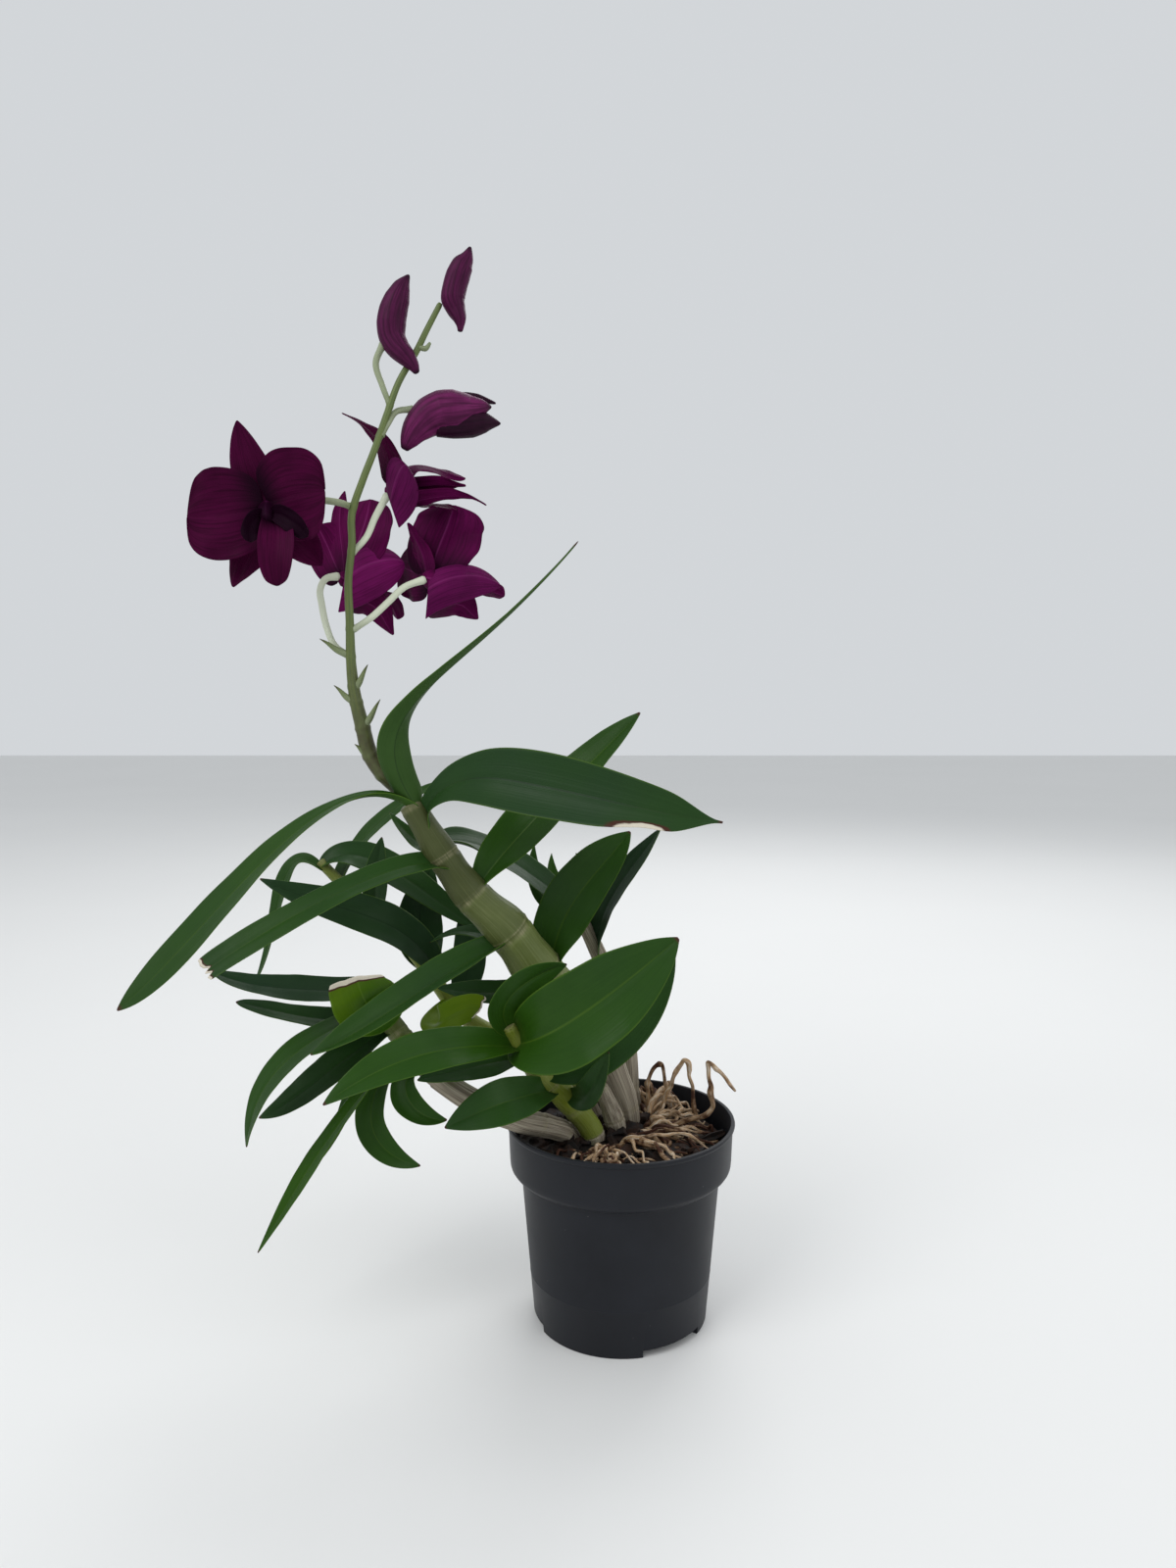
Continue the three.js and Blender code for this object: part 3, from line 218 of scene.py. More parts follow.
def joined(name, parts):
    """One piece from several."""
    alone(parts[0])
    for part in parts[1:]:
        part.select_set(True)
    if len(parts) > 1:
        bpy.ops.object.join()
    piece = bpy.context.active_object
    piece.name = name
    return piece


def finished(piece, node):
    """Shades the piece smoothly and lets it stand for its solid."""
    alone(piece)
    bpy.ops.object.shade_smooth()
    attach(piece, "root")
    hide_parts(node)


def tube(name, guides, sides, rows, swell, paint):
    """A closed round bar along guides of [x, y, z, radius].

    swell(t, angle) multiplies the radius, where it isn't None; paint gives attributes by (t, angle).
    """
    curve = spline(guides)
    run = [min(max((i - 1) / (rows - 2), 0), 1) for i in range(rows + 1)]
    share = [0, BLUNT] + [1] * (rows - 3) + [BLUNT, 0]
    rings = []
    normal = Vector((0, 1, 0))
    for t in run:
        along = heading(curve, t)
        normal = (normal - along * normal.dot(along)).normalized()
        rings.append((curve(t), normal.copy(), along.cross(normal), guide_value(guides, t)))

    def place(u, v):
        i = round(v * rows)
        centre, first, second, radius = rings[i]
        angle = 2 * math.pi * u
        if swell:
            radius *= swell(run[i], angle)
        return centre + (first * math.cos(angle) + second * math.sin(angle)) * radius * share[i]

    rolled = {
        label: lambda u, v, value=value: value(run[round(v * rows)], 2 * math.pi * u)
        for label, value in paint.items()
    }
    piece = sheet(name, sides, rows, place, rolled)
    sew(piece)
    return piece


# ---- Finish kit ----


class Finish:
    """A material in the making: one Principled shader and short calls for the nodes before it."""

    def __init__(self, name, **numbers):
        self.material = bpy.data.materials.new(name)
        self.material.use_nodes = True
        self.tree = self.material.node_tree
        self.shader = self.tree.nodes["Principled BSDF"]
        for label, value in numbers.items():
            self.shader.inputs[label.replace("_", " ")].default_value = value
        self.relief = None

    def node(self, kind, sockets, **settings):
        made = self.tree.nodes.new("ShaderNode" + kind)
        for key, value in settings.items():
            setattr(made, key, value)
        for key, value in sockets.items():
            self.feed(made.inputs[key], value)
        return made

    def feed(self, socket, value):
        if isinstance(value, NodeSocket):
            self.tree.links.new(value, socket)
        elif socket.type == "RGBA" and len(value) == 3:
            socket.default_value = (*value, 1)
        else:
            socket.default_value = value

    def uv(self):
        return self.node("UVMap", {}, uv_map="UVMap").outputs["UV"]

    def place(self):
        return self.node("TexCoord", {}).outputs["Object"]

    def reading(self, attribute):
        return self.node("Attribute", {}, attribute_name=attribute).outputs["Fac"]

    def parts(self, vector):
        made = self.node("SeparateXYZ", {0: vector})
        return made.outputs["X"], made.outputs["Y"]

    def vector(self, x, y, z=0.0):
        return self.node("CombineXYZ", {"X": x, "Y": y, "Z": z}).outputs[0]

    def stretched(self, vector, scale):
        return self.node("VectorMath", {0: vector, 1: scale}, operation="MULTIPLY").outputs[0]

    def math(self, operation, a, b=0.0):
        return self.node("Math", {0: a, 1: b}, operation=operation).outputs[0]

    def times(self, a, b):
        return self.math("MULTIPLY", a, b)

    def noise(self, vector, scale=1.0, detail=3.0, roughness=0.5):
        sockets = {"Vector": vector, "Scale": scale, "Detail": detail, "Roughness": roughness}
        return self.node("TexNoise", sockets).outputs["Fac"]

    def cells(self, vector, scale):
        return self.node("TexVoronoi", {"Vector": vector, "Scale": scale}).outputs["Distance"]

    def span(self, value, low, high, bottom=0.0, top=1.0):
        """value moved from low..high to bottom..top, and held inside it."""
        sockets = {"Value": value, "From Min": low, "From Max": high, "To Min": bottom, "To Max": top}
        return self.node("MapRange", sockets).outputs["Result"]

    def blend(self, share, a, b, mode="MIX"):
        made = self.node("Mix", {}, data_type="RGBA", blend_type=mode)
        for index, value in ((0, share), (6, a), (7, b)):
            self.feed(made.inputs[index], value)
        return made.outputs[2]

    def colour(self, value):
        self.feed(self.shader.inputs["Base Color"], value)

    def roughness(self, value):
        self.feed(self.shader.inputs["Roughness"], value)

    def bump(self, height, distance, strength):
        """Adds relief of a real depth in millimetres under what is there already."""
        sockets = {"Height": height, "Distance": distance * MM, "Strength": strength}
        if self.relief:
            sockets["Normal"] = self.relief
        self.relief = self.node("Bump", sockets).outputs["Normal"]
        self.feed(self.shader.inputs["Normal"], self.relief)

    def around(self, turns, along):
        """Coordinates on a tube: turns features round it and along features over its length."""
        u, v = self.parts(self.uv())
        angle = self.times(u, 2 * math.pi)
        wide = turns / math.pi
        x = self.times(self.math("COSINE", angle), wide)
        y = self.times(self.math("SINE", angle), wide)
        return self.vector(x, y, self.times(v, along))


# ---- Settings ----


def length(name, description, default):
    return FloatProperty(name=name, description=description, default=default, min=0, unit="LENGTH")


def tint(name, description, default):
    return FloatVectorProperty(
        name=name, description=description, default=default, size=3, min=0, max=1, subtype="COLOR"
    )


class OrchidPotSettings(PropertyGroup):
    """The nursery pot."""

    rim_radius: length("Rim Radius", "Radius of the pot over its rim", 0.0525)
    rim_height: length("Rim Height", "Height of the rim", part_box("pot")[1].z)
    wall: length("Wall", "Thickness of the pot's wall", 0.0014)
    plastic: tint("Plastic", "Colour of the pot", (0.0085, 0.0095, 0.0125))
    dust: tint("Dust", "Colour of the dust on the pot", (0.12, 0.12, 0.12))


class OrchidBarkSettings(PropertyGroup):
    """The bark and the roots in it."""

    chips: IntProperty(name="Chips", description="Number of bark chips", default=260, min=1)
    chip_length: length("Chip Length", "Length of a usual bark chip", 0.011)
    dark: tint("Damp Bark", "Colour of damp bark", (0.005, 0.003, 0.0025))
    light: tint("Dry Bark", "Colour of dry bark", (0.04, 0.018, 0.01))
    roots: IntProperty(name="Roots", description="Number of loose roots", default=96, min=1)
    root_radius: length("Root Radius", "Radius of a usual root", 0.00105)
    root_light: tint("Root Skin", "Colour of dry root skin", (0.4, 0.24, 0.11))
    root_dark: tint("Old Root", "Colour of old roots", (0.05, 0.017, 0.008))
    # Bleached root skin, which also stands in for painted highlights on the roots.
    root_white: tint("Bleached Root", "Colour of bleached root skin", (0.66, 0.6, 0.5))


class OrchidCaneSettings(PropertyGroup):
    """The canes and their sheaths."""

    sheath_step: length("Sheath Step", "How far a sheath stands off at its mouth", 0.0004)
    green: tint("Green Cane", "Colour of a fresh cane", (0.12, 0.16, 0.035))
    olive: tint("Olive Sheath", "Colour of an upper sheath", (0.045, 0.056, 0.013))
    pale: tint("Cane Stripes", "Colour of the pale stripes", (0.25, 0.28, 0.12))
    dry: tint("Dry Sheath", "Colour of a dry sheath", (0.37, 0.33, 0.25))
    # The crease colour is painted shade down in the creases of a dry sheath.
    crease: tint("Sheath Creases", "Colour down in the creases of a dry sheath", (0.13, 0.1, 0.07))
    bleached: tint("Bleached Sheath", "Colour of the streaks on a dry sheath", (0.55, 0.51, 0.42))
    mouth: tint("Sheath Mouth", "Colour of a sheath's papery mouth", (0.33, 0.3, 0.18))
    shoot: tint("Shoot", "Colour of a young shoot", (0.15, 0.19, 0.012))


class OrchidLeafSettings(PropertyGroup):
    """The leaves."""

    rib_thickness: length("Rib Thickness", "Thickness of a blade at its rib", 0.00085)
    dark: tint("Old Leaf", "Colour of an old blade's upper side", (0.014, 0.038, 0.015))
    bright: tint("Young Leaf", "Colour of a young blade's upper side", (0.023, 0.075, 0.0008))
    under: tint("Underside", "Colour of a blade's underside", (0.04, 0.09, 0.014))
    yellow: tint("Yellow Leaf", "Colour of the palest new blade", (0.2, 0.3, 0.008))
    margin: tint("Margin", "Colour of a blade's margin", (0.085, 0.16, 0.015))
    # On old blades the groove colour is painted shade down in the rib's groove.
    groove: tint("Groove", "Colour of the groove over an old blade's rib", (0.004, 0.014, 0.005))
    scorch: tint("Dead Tip", "Colour of dead leaf", (0.05, 0.018, 0.01))
    paper: tint("Papery Scar", "Colour of dried leaf", (0.6, 0.55, 0.45))


class OrchidFlowerSettings(PropertyGroup):
    """The spike, its blooms and its buds."""

    petal_thickness: length("Petal Thickness", "Thickness of a petal", 0.0005)
    petal: tint("Petal", "Colour of a petal's face", (0.04, 0.001, 0.019))
    outside: tint("Petal Outside", "Colour of a petal's outer side", (0.07, 0.0015, 0.038))
    violet: tint("Violet", "Colour of a side sepal's outer side", (0.13, 0.006, 0.078))
    keel: tint("Keel", "Colour of the keel along a petal's outer side", (0.3, 0.04, 0.2))
    # The throat colour is the near black of painted shade deep in the bloom.
    throat: tint("Throat", "Colour deep in the bloom", (0.004, 0.0006, 0.004))
    bud: tint("Bud", "Colour of a bud", (0.095, 0.01, 0.058))
    bud_tip: tint("Bud Tip", "Colour of a bud's tip", (0.006, 0.0015, 0.005))
    stalk: tint("Stalk", "Colour of the flower spike", (0.1, 0.135, 0.022))
    streak: tint("Stalk Streaks", "Colour of the streaks on the flower spike", (0.05, 0.085, 0.014))
    husk: tint("Husk", "Colour of the spike's dry scales", (0.055, 0.05, 0.022))
    pale_stalk: tint("Flower Stalk", "Colour of the flower stalks", (0.6, 0.64, 0.5))


class OrchidStageSettings(PropertyGroup):
    """The floor and the light."""

    floor: tint("Floor", "Colour of the floor", (0.78, 0.78, 0.77))
    sky: tint("Sky", "Colour of the light from all round", (0.81, 0.84, 0.87))
    sky_strength: FloatProperty(name="Sky Strength", description="Light from all round", default=0.8, min=0)
    lamp_watts: FloatProperty(name="Lamp", description="Power of the main lamp in watts", default=11, min=0)


# ---- Stage ----

CAMERA_PLACE = (-0.015, -0.507, 0.293)
CAMERA_PITCH_DEG = 84.84
LENS = 26
FLOOR_SIZE = 8
# Each lamp: its place, its size across in metres and its share of the main lamp's power.
LAMPS = {
    "main_lamp": ((-0.9, -0.9, 1.3), 0.9, 1.0),
    "fill_lamp": ((1.1, -0.7, 0.8), 1.1, 0.4),
    "back_lamp": ((0.3, 1.1, 1.2), 1.0, 0.7),
}
LAMP_TARGET = (-0.06, 0, 0.22)


class ORCHID_OT_stage(Operator):
    """Adds the floor, the lights and the camera"""

    bl_idname = "orchid.stage"
    bl_label = "Stage"

    def execute(self, context):
        settings = context.scene.orchid_stage
        bpy.ops.object.select_all(action="DESELECT")
        bpy.ops.mesh.primitive_plane_add(size=FLOOR_SIZE)
        floor = context.active_object
        floor.name = "floor"
        finish = Finish("floor", Roughness=0.75)
        cloud = finish.noise(finish.place(), scale=3.0, detail=4.0)
        shade = shaded(settings.floor, 0.96)
        finish.colour(finish.blend(cloud, settings.floor, shade))
        floor.data.materials.append(finish.material)
        world = bpy.data.worlds.new("sky")
        world.use_nodes = True
        background = world.node_tree.nodes["Background"]
        background.inputs["Color"].default_value = (*settings.sky, 1)
        background.inputs["Strength"].default_value = settings.sky_strength
        context.scene.world = world
        for name, (place, size, share) in LAMPS.items():
            towards = Vector(LAMP_TARGET) - Vector(place)
            turn = towards.to_track_quat("-Z", "Y").to_euler()
            bpy.ops.object.light_add(type="AREA", location=place, rotation=turn)
            lamp = context.active_object
            lamp.name = name
            lamp.data.size = size
            lamp.data.energy = settings.lamp_watts * share
        turn = (math.radians(CAMERA_PITCH_DEG), 0, 0)
        bpy.ops.object.camera_add(location=CAMERA_PLACE, rotation=turn)
        camera = context.active_object
        camera.data.lens = LENS
        camera.data.clip_start = 0.01
        context.scene.camera = camera
        context.scene.view_settings.view_transform = "Standard"
        return {"FINISHED"}


# ---- Pot ----

POT_SIDES = 144
COLLAR_FOOT = (50.7, 73)  # radius and height
SHOULDER = (45.7, 68.6)
BASE_RADIUS = 40
MOULD_LINE = 22  # its height
FLOOR_THICK = 2
LIP = 0.9  # how wide the rolled rim is
# The foot notches: their middles and width in degrees, where they start and how high they are.
NOTCH = SimpleNamespace(angles=[-54 + 120 * i for i in range(3)], width=46, inner=27, height=3.5)
# The roof that closes each notch inside the pot: how far it stands past the notch inwards, into the wall
# and in degrees, and where it begins. The cut for the notch runs out through the wall and the underside.
ROOF = SimpleNamespace(inwards=1.5, into_wall=0.2, degrees=4, low=0.5)
CUT = SimpleNamespace(outwards=5, low=-1)
# The drain hole in each notch, how far out it is, and the cylinder that drills it.
HOLE = SimpleNamespace(reach=33, radius=4.5, middle=4, depth=12, sides=32)


def ring_stack(name, sides, rings):
    """A turned shell: a circle extruded up, in or out through (radius, height) rings."""
    radius, height = rings[0]
    bpy.ops.object.select_all(action="DESELECT")
    bpy.ops.mesh.primitive_circle_add(vertices=sides, radius=radius * MM, location=(0, 0, height * MM))
    piece = bpy.context.active_object
    piece.name = name
    bpy.ops.object.transform_apply(location=True)
    bpy.ops.object.mode_set(mode="EDIT")
    bpy.ops.mesh.select_all(action="SELECT")
    bpy.ops.mesh.edge_face_add()
    for next_radius, next_height in rings[1:]:
        climb = (0, 0, (next_height - height) * MM)
        bpy.ops.mesh.extrude_region_move(TRANSFORM_OT_translate={"value": climb})
        grow = next_radius / radius
        bpy.ops.transform.resize(value=(grow, grow, 1), center_override=(0, 0, next_height * MM))
        radius, height = next_radius, next_height
    bpy.ops.object.mode_set(mode="OBJECT")
    return piece


def wall_radius(height):
    """Radius of the body's outside, which leans out from the base to the shoulder."""
    return mix(BASE_RADIUS, SHOULDER[0], height / SHOULDER[1])


def pot_rings(rim_radius, rim_height, wall):
    """The pot's outside from the base up, then its inside down to the floor."""
    outside = [
        (CENTRE, 0),
        (26, 0),
        (BASE_RADIUS - 0.6, 0),
        (BASE_RADIUS - 0.15, 0.2),
        (BASE_RADIUS, 0.7),
        (wall_radius(MOULD_LINE - 0.25), MOULD_LINE - 0.25),
        (wall_radius(MOULD_LINE) + 0.1, MOULD_LINE),
        (wall_radius(MOULD_LINE + 0.25), MOULD_LINE + 0.25),
        (wall_radius(SHOULDER[1] - 1), SHOULDER[1] - 1),
        (wall_radius(SHOULDER[1]), SHOULDER[1] - 0.2),
        (SHOULDER[0] + 0.25, SHOULDER[1] + 0.15),
        (COLLAR_FOOT[0] - 3.6, COLLAR_FOOT[1] - 3.9),
        (COLLAR_FOOT[0] - 2.2, COLLAR_FOOT[1] - 3),
        (COLLAR_FOOT[0] - 0.9, COLLAR_FOOT[1] - 1.8),
        (COLLAR_FOOT[0] - 0.2, COLLAR_FOOT[1] - 0.7),
        (COLLAR_FOOT[0], COLLAR_FOOT[1]),
        (COLLAR_FOOT[0] + 0.2, COLLAR_FOOT[1] + 2),
        (rim_radius - LIP - 0.1, rim_height - 2.6),
        (rim_radius - 0.15, rim_height - 1.7),
        (rim_radius, rim_height - 1),
        (rim_radius - 0.25, rim_height - 0.25),
        (rim_radius - LIP, rim_height),
    ]
    inside = [
        (rim_radius - 1.7, rim_height - 0.2),
        (rim_radius - 2, rim_height - 0.9),
        (COLLAR_FOOT[0] - wall, COLLAR_FOOT[1] + 1),
        (SHOULDER[0] - wall, SHOULDER[1] + 1),
        (BASE_RADIUS - wall, FLOOR_THICK + 0.6),
        (BASE_RADIUS - wall - 0.6, FLOOR_THICK),
        (CENTRE, FLOOR_THICK),
    ]
    return outside + inside


def sector_block(inner, outer, centre_deg, width_deg, low, high):
    """A block between two radii, round an angle, for cutting and adding."""
    steps = 12
    bpy.ops.object.select_all(action="DESELECT")
    bpy.ops.mesh.primitive_grid_add(x_subdivisions=1, y_subdivisions=steps, size=2)
    block = bpy.context.active_object
    for vertex in block.data.vertices:
        radius = mix(inner, outer, (vertex.co.x + 1) / 2)
        angle = math.radians(centre_deg + width_deg / 2 * vertex.co.y)
        vertex.co = Vector((radius * math.cos(angle), radius * math.sin(angle), low)) * MM
    bpy.ops.object.mode_set(mode="EDIT")
    bpy.ops.mesh.select_all(action="SELECT")
    climb = (0, 0, (high - low) * MM)
    bpy.ops.mesh.extrude_region_move(TRANSFORM_OT_translate={"value": climb})
    bpy.ops.mesh.select_all(action="SELECT")
    bpy.ops.mesh.normals_make_consistent(inside=False)
    bpy.ops.object.mode_set(mode="OBJECT")
    return block


def carve(piece, tool, operation):
    """Adds a tool's shape to the piece or cuts it away, and deletes the tool."""
    modify(piece, "BOOLEAN", object=tool, operation=operation, solver="EXACT")
    bpy.data.objects.remove(tool)


def pot_finish(settings):
    finish = Finish("pot plastic", Specular_IOR_Level=0.2)
    place = finish.place()
    haze = finish.noise(place, scale=28.0, detail=5.0, roughness=0.6)
    grain = finish.noise(place, scale=1500.0, detail=2.0)
    lighter = shaded(settings.plastic, 1.5)
    body = finish.blend(finish.span(haze, 0.35, 0.7), settings.plastic, lighter)
    specks = finish.span(finish.cells(place, 260.0), 0.04, 0.07, 1.0, 0.0)
    scarce = finish.times(specks, finish.span(finish.noise(place, scale=60.0), 0.6, 0.66))
    finish.colour(finish.blend(finish.times(scarce, 0.8), body, settings.dust))
    finish.roughness(finish.span(haze, 0.3, 0.75, 0.38, 0.52))
    finish.bump(grain, 0.03, 0.5)
    return finish.material


class ORCHID_OT_pot(Operator):
    """Builds the nursery pot with its collar, lip, foot notches and drain holes"""

    bl_idname = "orchid.pot"
    bl_label = "Pot"

    def execute(self, context):
        settings = context.scene.orchid_pot
        rings = pot_rings(settings.rim_radius / MM, settings.rim_height / MM, settings.wall / MM)
        pot = ring_stack("pot_shell", POT_SIDES, rings)
        start, end = NOTCH.inner - ROOF.inwards, BASE_RADIUS - settings.wall / MM + ROOF.into_wall
        wide, high = NOTCH.width + ROOF.degrees, NOTCH.height + FLOOR_THICK
        cut_end = BASE_RADIUS + CUT.outwards
        for angle in NOTCH.angles:
            roof = sector_block(start, end, angle, wide, ROOF.low, high)
            carve(pot, roof, "UNION")
            notch = sector_block(NOTCH.inner, cut_end, angle, NOTCH.width, CUT.low, NOTCH.height)
            carve(pot, notch, "DIFFERENCE")
            reach = HOLE.reach * MM
            turn = math.radians(angle)
            spot = (reach * math.cos(turn), reach * math.sin(turn), HOLE.middle * MM)
            bpy.ops.object.select_all(action="DESELECT")
            bpy.ops.mesh.primitive_cylinder_add(
                vertices=HOLE.sides, radius=HOLE.radius * MM, depth=HOLE.depth * MM, location=spot
            )
            carve(pot, context.active_object, "DIFFERENCE")
        pot.data.materials.clear()
        pot.data.materials.append(pot_finish(settings))
        finished(pot, "pot")
        bpy.ops.object.shade_smooth_by_angle(angle=math.radians(35))
        return {"FINISHED"}


# ---- Bark ----

BARK_TOP = 82
BARK_REACH = 47
BARK_SIDES = 96
BARK_ROWS = 40
BARK_SEED = 5
# The plug under the heap, from its top down to just over the foot notches: [radius, height] rings.
PLUG = [
    (CENTRE, BARK_TOP - 1.5), (BARK_REACH - 0.2, BARK_TOP - 1.5),
    (48.2, 77), (43.4, 68), (37.8, 6.6), (CENTRE, 6.6),
]
HEAP = SimpleNamespace(height=1.6, width=9)  # of the humps in the bark, in millimetres
GRIT = SimpleNamespace(height=0.5, width=2.5)  # of the small lumps on them
# The chips: how many patterns; width and height as shares of the length, and jitter of the corners; then
# the spread of their sizes, how far they stand out of the heap, their tilt, and their gap to the wall.
CHIP = SimpleNamespace(
    kinds=4, width=0.62, height=0.3, jitter=0.07, sizes=(0.25, 1.15), rise=(-0.5, 1.3), tilt=0.6, gap=4
)


def bark_height(x, y):
    """The bark's surface, humped and hollowed, and flatter near the wall."""
    near = 1 - ease(math.hypot(x, y), 30, 50)
    humps = HEAP.height * ripple(x / HEAP.width, y / HEAP.width, 3.1) * near
    return BARK_TOP + humps + GRIT.height * ripple(x / GRIT.width, y / GRIT.width, 7.7)


def bark_finish(settings):
    finish = Finish("bark", Specular_IOR_Level=0.3)
    place = finish.place()
    patch = finish.noise(place, scale=130.0, detail=4.0, roughness=0.65)
    fibre = finish.noise(finish.stretched(place, (260, 900, 500)), detail=3.0)
    body = finish.blend(finish.span(patch, 0.42, 0.68), settings.dark, settings.light)
    finish.colour(finish.blend(finish.span(fibre, 0.45, 0.75, 0, 0.6), body, settings.dark))
    finish.roughness(finish.span(patch, 0.3, 0.7, 0.62, 0.95))
    finish.bump(fibre, 0.35, 0.9)
    finish.bump(finish.noise(place, scale=700.0, detail=4.0), 0.2, 0.7)
    return finish.material


def chip_pattern(source):
    """One splintered chip of unit length, from a cut and jittered block."""
    bpy.ops.object.select_all(action="DESELECT")
    bpy.ops.mesh.primitive_cube_add(size=1)
    chip = bpy.context.active_object
    bpy.ops.object.mode_set(mode="EDIT")
    bpy.ops.mesh.select_all(action="SELECT")
    bpy.ops.mesh.subdivide(number_cuts=1)
    bpy.ops.object.mode_set(mode="OBJECT")
    for vertex in chip.data.vertices:
        x, y, z = vertex.co
        narrow = 1 - 0.5 * abs(2 * x) ** 2 * source.uniform(0.4, 1)
        vertex.co = Vector((x, y * CHIP.width * narrow, z * CHIP.height * narrow))
        vertex.co += Vector([source.uniform(-CHIP.jitter, CHIP.jitter) for _ in range(3)])
    return chip


def copy_of(pattern, matrix):
    """A copy with its own mesh, moved by the matrix."""
    copy = bpy.data.objects.new(pattern.name, pattern.data.copy())
    bpy.context.scene.collection.objects.link(copy)
    copy.data.transform(matrix)
    return copy


def random_turn(source, tilt):
    """Any heading, and a lean of up to tilt radians both ways."""
    flat = Matrix.Rotation(source.uniform(0, 2 * math.pi), 4, "Z")
    lean = Matrix.Rotation(source.uniform(-tilt, tilt), 4, "X")
    return flat @ lean @ Matrix.Rotation(source.uniform(-tilt, tilt), 4, "Y")


class ORCHID_OT_bark(Operator):
    """Builds the filled pot's bark, its top heaped with chips"""

    bl_idname = "orchid.bark"
    bl_label = "Bark"

    def execute(self, context):
        settings = context.scene.orchid_bark
        source = random.Random(BARK_SEED)

        def top(u, v):
            reach = BARK_REACH * v
            x, y = reach * math.cos(2 * math.pi * u), reach * math.sin(2 * math.pi * u)
            return Vector((x, y, bark_height(x, y)))

        parts = [sheet("bark_top", BARK_SIDES, BARK_ROWS, top), ring_stack("bark_plug", BARK_SIDES, PLUG)]
        patterns = [chip_pattern(source) for _ in range(CHIP.kinds)]
        for i in range(settings.chips):
            reach = (BARK_REACH - CHIP.gap) * math.sqrt(source.random())
            angle = source.uniform(0, 2 * math.pi)
            x, y = reach * math.cos(angle), reach * math.sin(angle)
            size = settings.chip_length * source.uniform(*CHIP.sizes)
            spot = Vector((x, y, bark_height(x, y) + source.uniform(*CHIP.rise))) * MM
            matrix = Matrix.Translation(spot) @ random_turn(source, CHIP.tilt) @ Matrix.Scale(size, 4)
            parts.append(copy_of(patterns[i % CHIP.kinds], matrix))
        for pattern in patterns:
            bpy.data.objects.remove(pattern)
        bark = joined("bark_heap", parts)
        bark.data.materials.clear()
        bark.data.materials.append(bark_finish(settings))
        sew(bark)
        finished(bark, "bark")
        bpy.ops.object.shade_smooth_by_angle(angle=math.radians(40))
        return {"FINISHED"}


# ---- Roots ----

# The creeping stem that the roots grow from, and three roots that loop above the rim.
RHIZOME = [(20, 36, 78, 4), (14, 21, 78, 4.5), (9, 6, 78, 4.5), (-2, -8, 78, 4.5), (-10, -18, 78, 3.5)]
LOOPS = [
    [
        (16, 24, 79, 1.2), (22, 25, 92, 1.3), (26, 23, 103, 1.1), (31.5, 22, 112, 1.2), (34, 22, 104, 1),
        (36, 19, 90, 1), (38, 16, 80, 0.9),
    ],
    [
        (12, 8, 79, 1.3), (30, 6, 88, 1.2), (42.5, 3, 96, 1.4), (41.5, 2, 107, 1.1),
        (40.5, 2, 117.5, 1.2), (46, 1, 113.5, 1), (53, 0, 105, 0.7),
    ],
    [
        (16, 28, 79, 1.2), (14, 29, 94, 1.1), (16.5, 30, 104, 1.2), (21, 30, 107.5, 1), (23, 29, 98, 1),
        (28, 27, 80, 0.9),
    ],
]
ROOT_SEED = 21
# A loose root, in millimetres and radians: the headings at its fan's back and front, how far it reaches
# and how high it arches in front and at the back, its swing, its kinks sideways and lengthways, its
# length in guides, and its faces round and along.
ROOT = SimpleNamespace(
    fan=(2.0, -2.2), reach=(16, 46), arch=(9, 17), swing=9, kinks=(1.4, 1), guides=9, sides=7, rows=36
)
ROOT_BOUND = BARK_REACH - 2.5  # how far out the roots may lie
LOOP_KINK = 0.75


def root_guides(share, source, radius):
    """One wiry root from the creeping stem out over the bark."""
    creeping = spline(RHIZOME)
    foot = creeping(mix(0.02, 0.98, share) + source.uniform(-0.05, 0.05))
    way = mix(*ROOT.fan, share) + source.uniform(-0.5, 0.5)
    reach = mix(*ROOT.reach, source.random() ** 0.7)
    ahead = Vector((math.cos(way), math.sin(way), 0))
    side = Vector((-ahead.y, ahead.x, 0))
    rear = ease(share, 0.75, 0.1)
    lift = source.uniform(0, mix(*ROOT.arch, rear)) * source.random()
    swing = source.uniform(-ROOT.swing, ROOT.swing)
    phase = source.uniform(0, 6)
    wander = source.uniform(0, 3)
    across, lengthways = ROOT.kinks
    guides = []
    for i in range(ROOT.guides + 1):
        t = i / ROOT.guides
        weave = math.sin((2.4 + wander) * t + 0.4 * math.sin(phase))
        spot = foot + ahead * reach * t + side * swing * weave
        spot += side * source.uniform(-across, across) + ahead * source.uniform(-lengthways, lengthways)
        flat = Vector((spot.x, spot.y))
        if flat.length > ROOT_BOUND:
            flat *= ROOT_BOUND / flat.length
        ground = bark_height(flat.x, flat.y)
        arch = lift * math.sin(math.pi * min(t * 1.1, 1)) + source.uniform(-0.8, 2.2)
        height = ground + arch + 0.4 if i else ground - 1.5
        thick = radius * mix(1.15, 0.5, t) * source.uniform(0.7, 1.25)
        guides.append((flat.x, flat.y, height, thick))
    return guides


def loop_guides(guides, source):
    """A looping root's guides with kinks between them."""
    curve = spline(guides)
    count = 3 * (len(guides) - 1)
    kinked = []
    for i in range(count + 1):
        t = i / count
        near = guides[min(int(t * (len(guides) - 1)), len(guides) - 1)]
        slack = LOOP_KINK * math.sin(math.pi * t)
        spot = curve(t) + Vector([source.uniform(-slack, slack) for _ in range(3)])
        kinked.append((*spot[:3], near[3] * source.uniform(0.75, 1.2)))
    return kinked


def root_swell(seed):
    """Knots along a root and ribs round it."""

    def swell(t, angle):
        ribs = 0.1 * ripple(3 * math.cos(angle), 3 * math.sin(angle), t * 3 + seed)
        return 1 + 0.22 * ripple(t * 14, seed) + ribs

    return swell


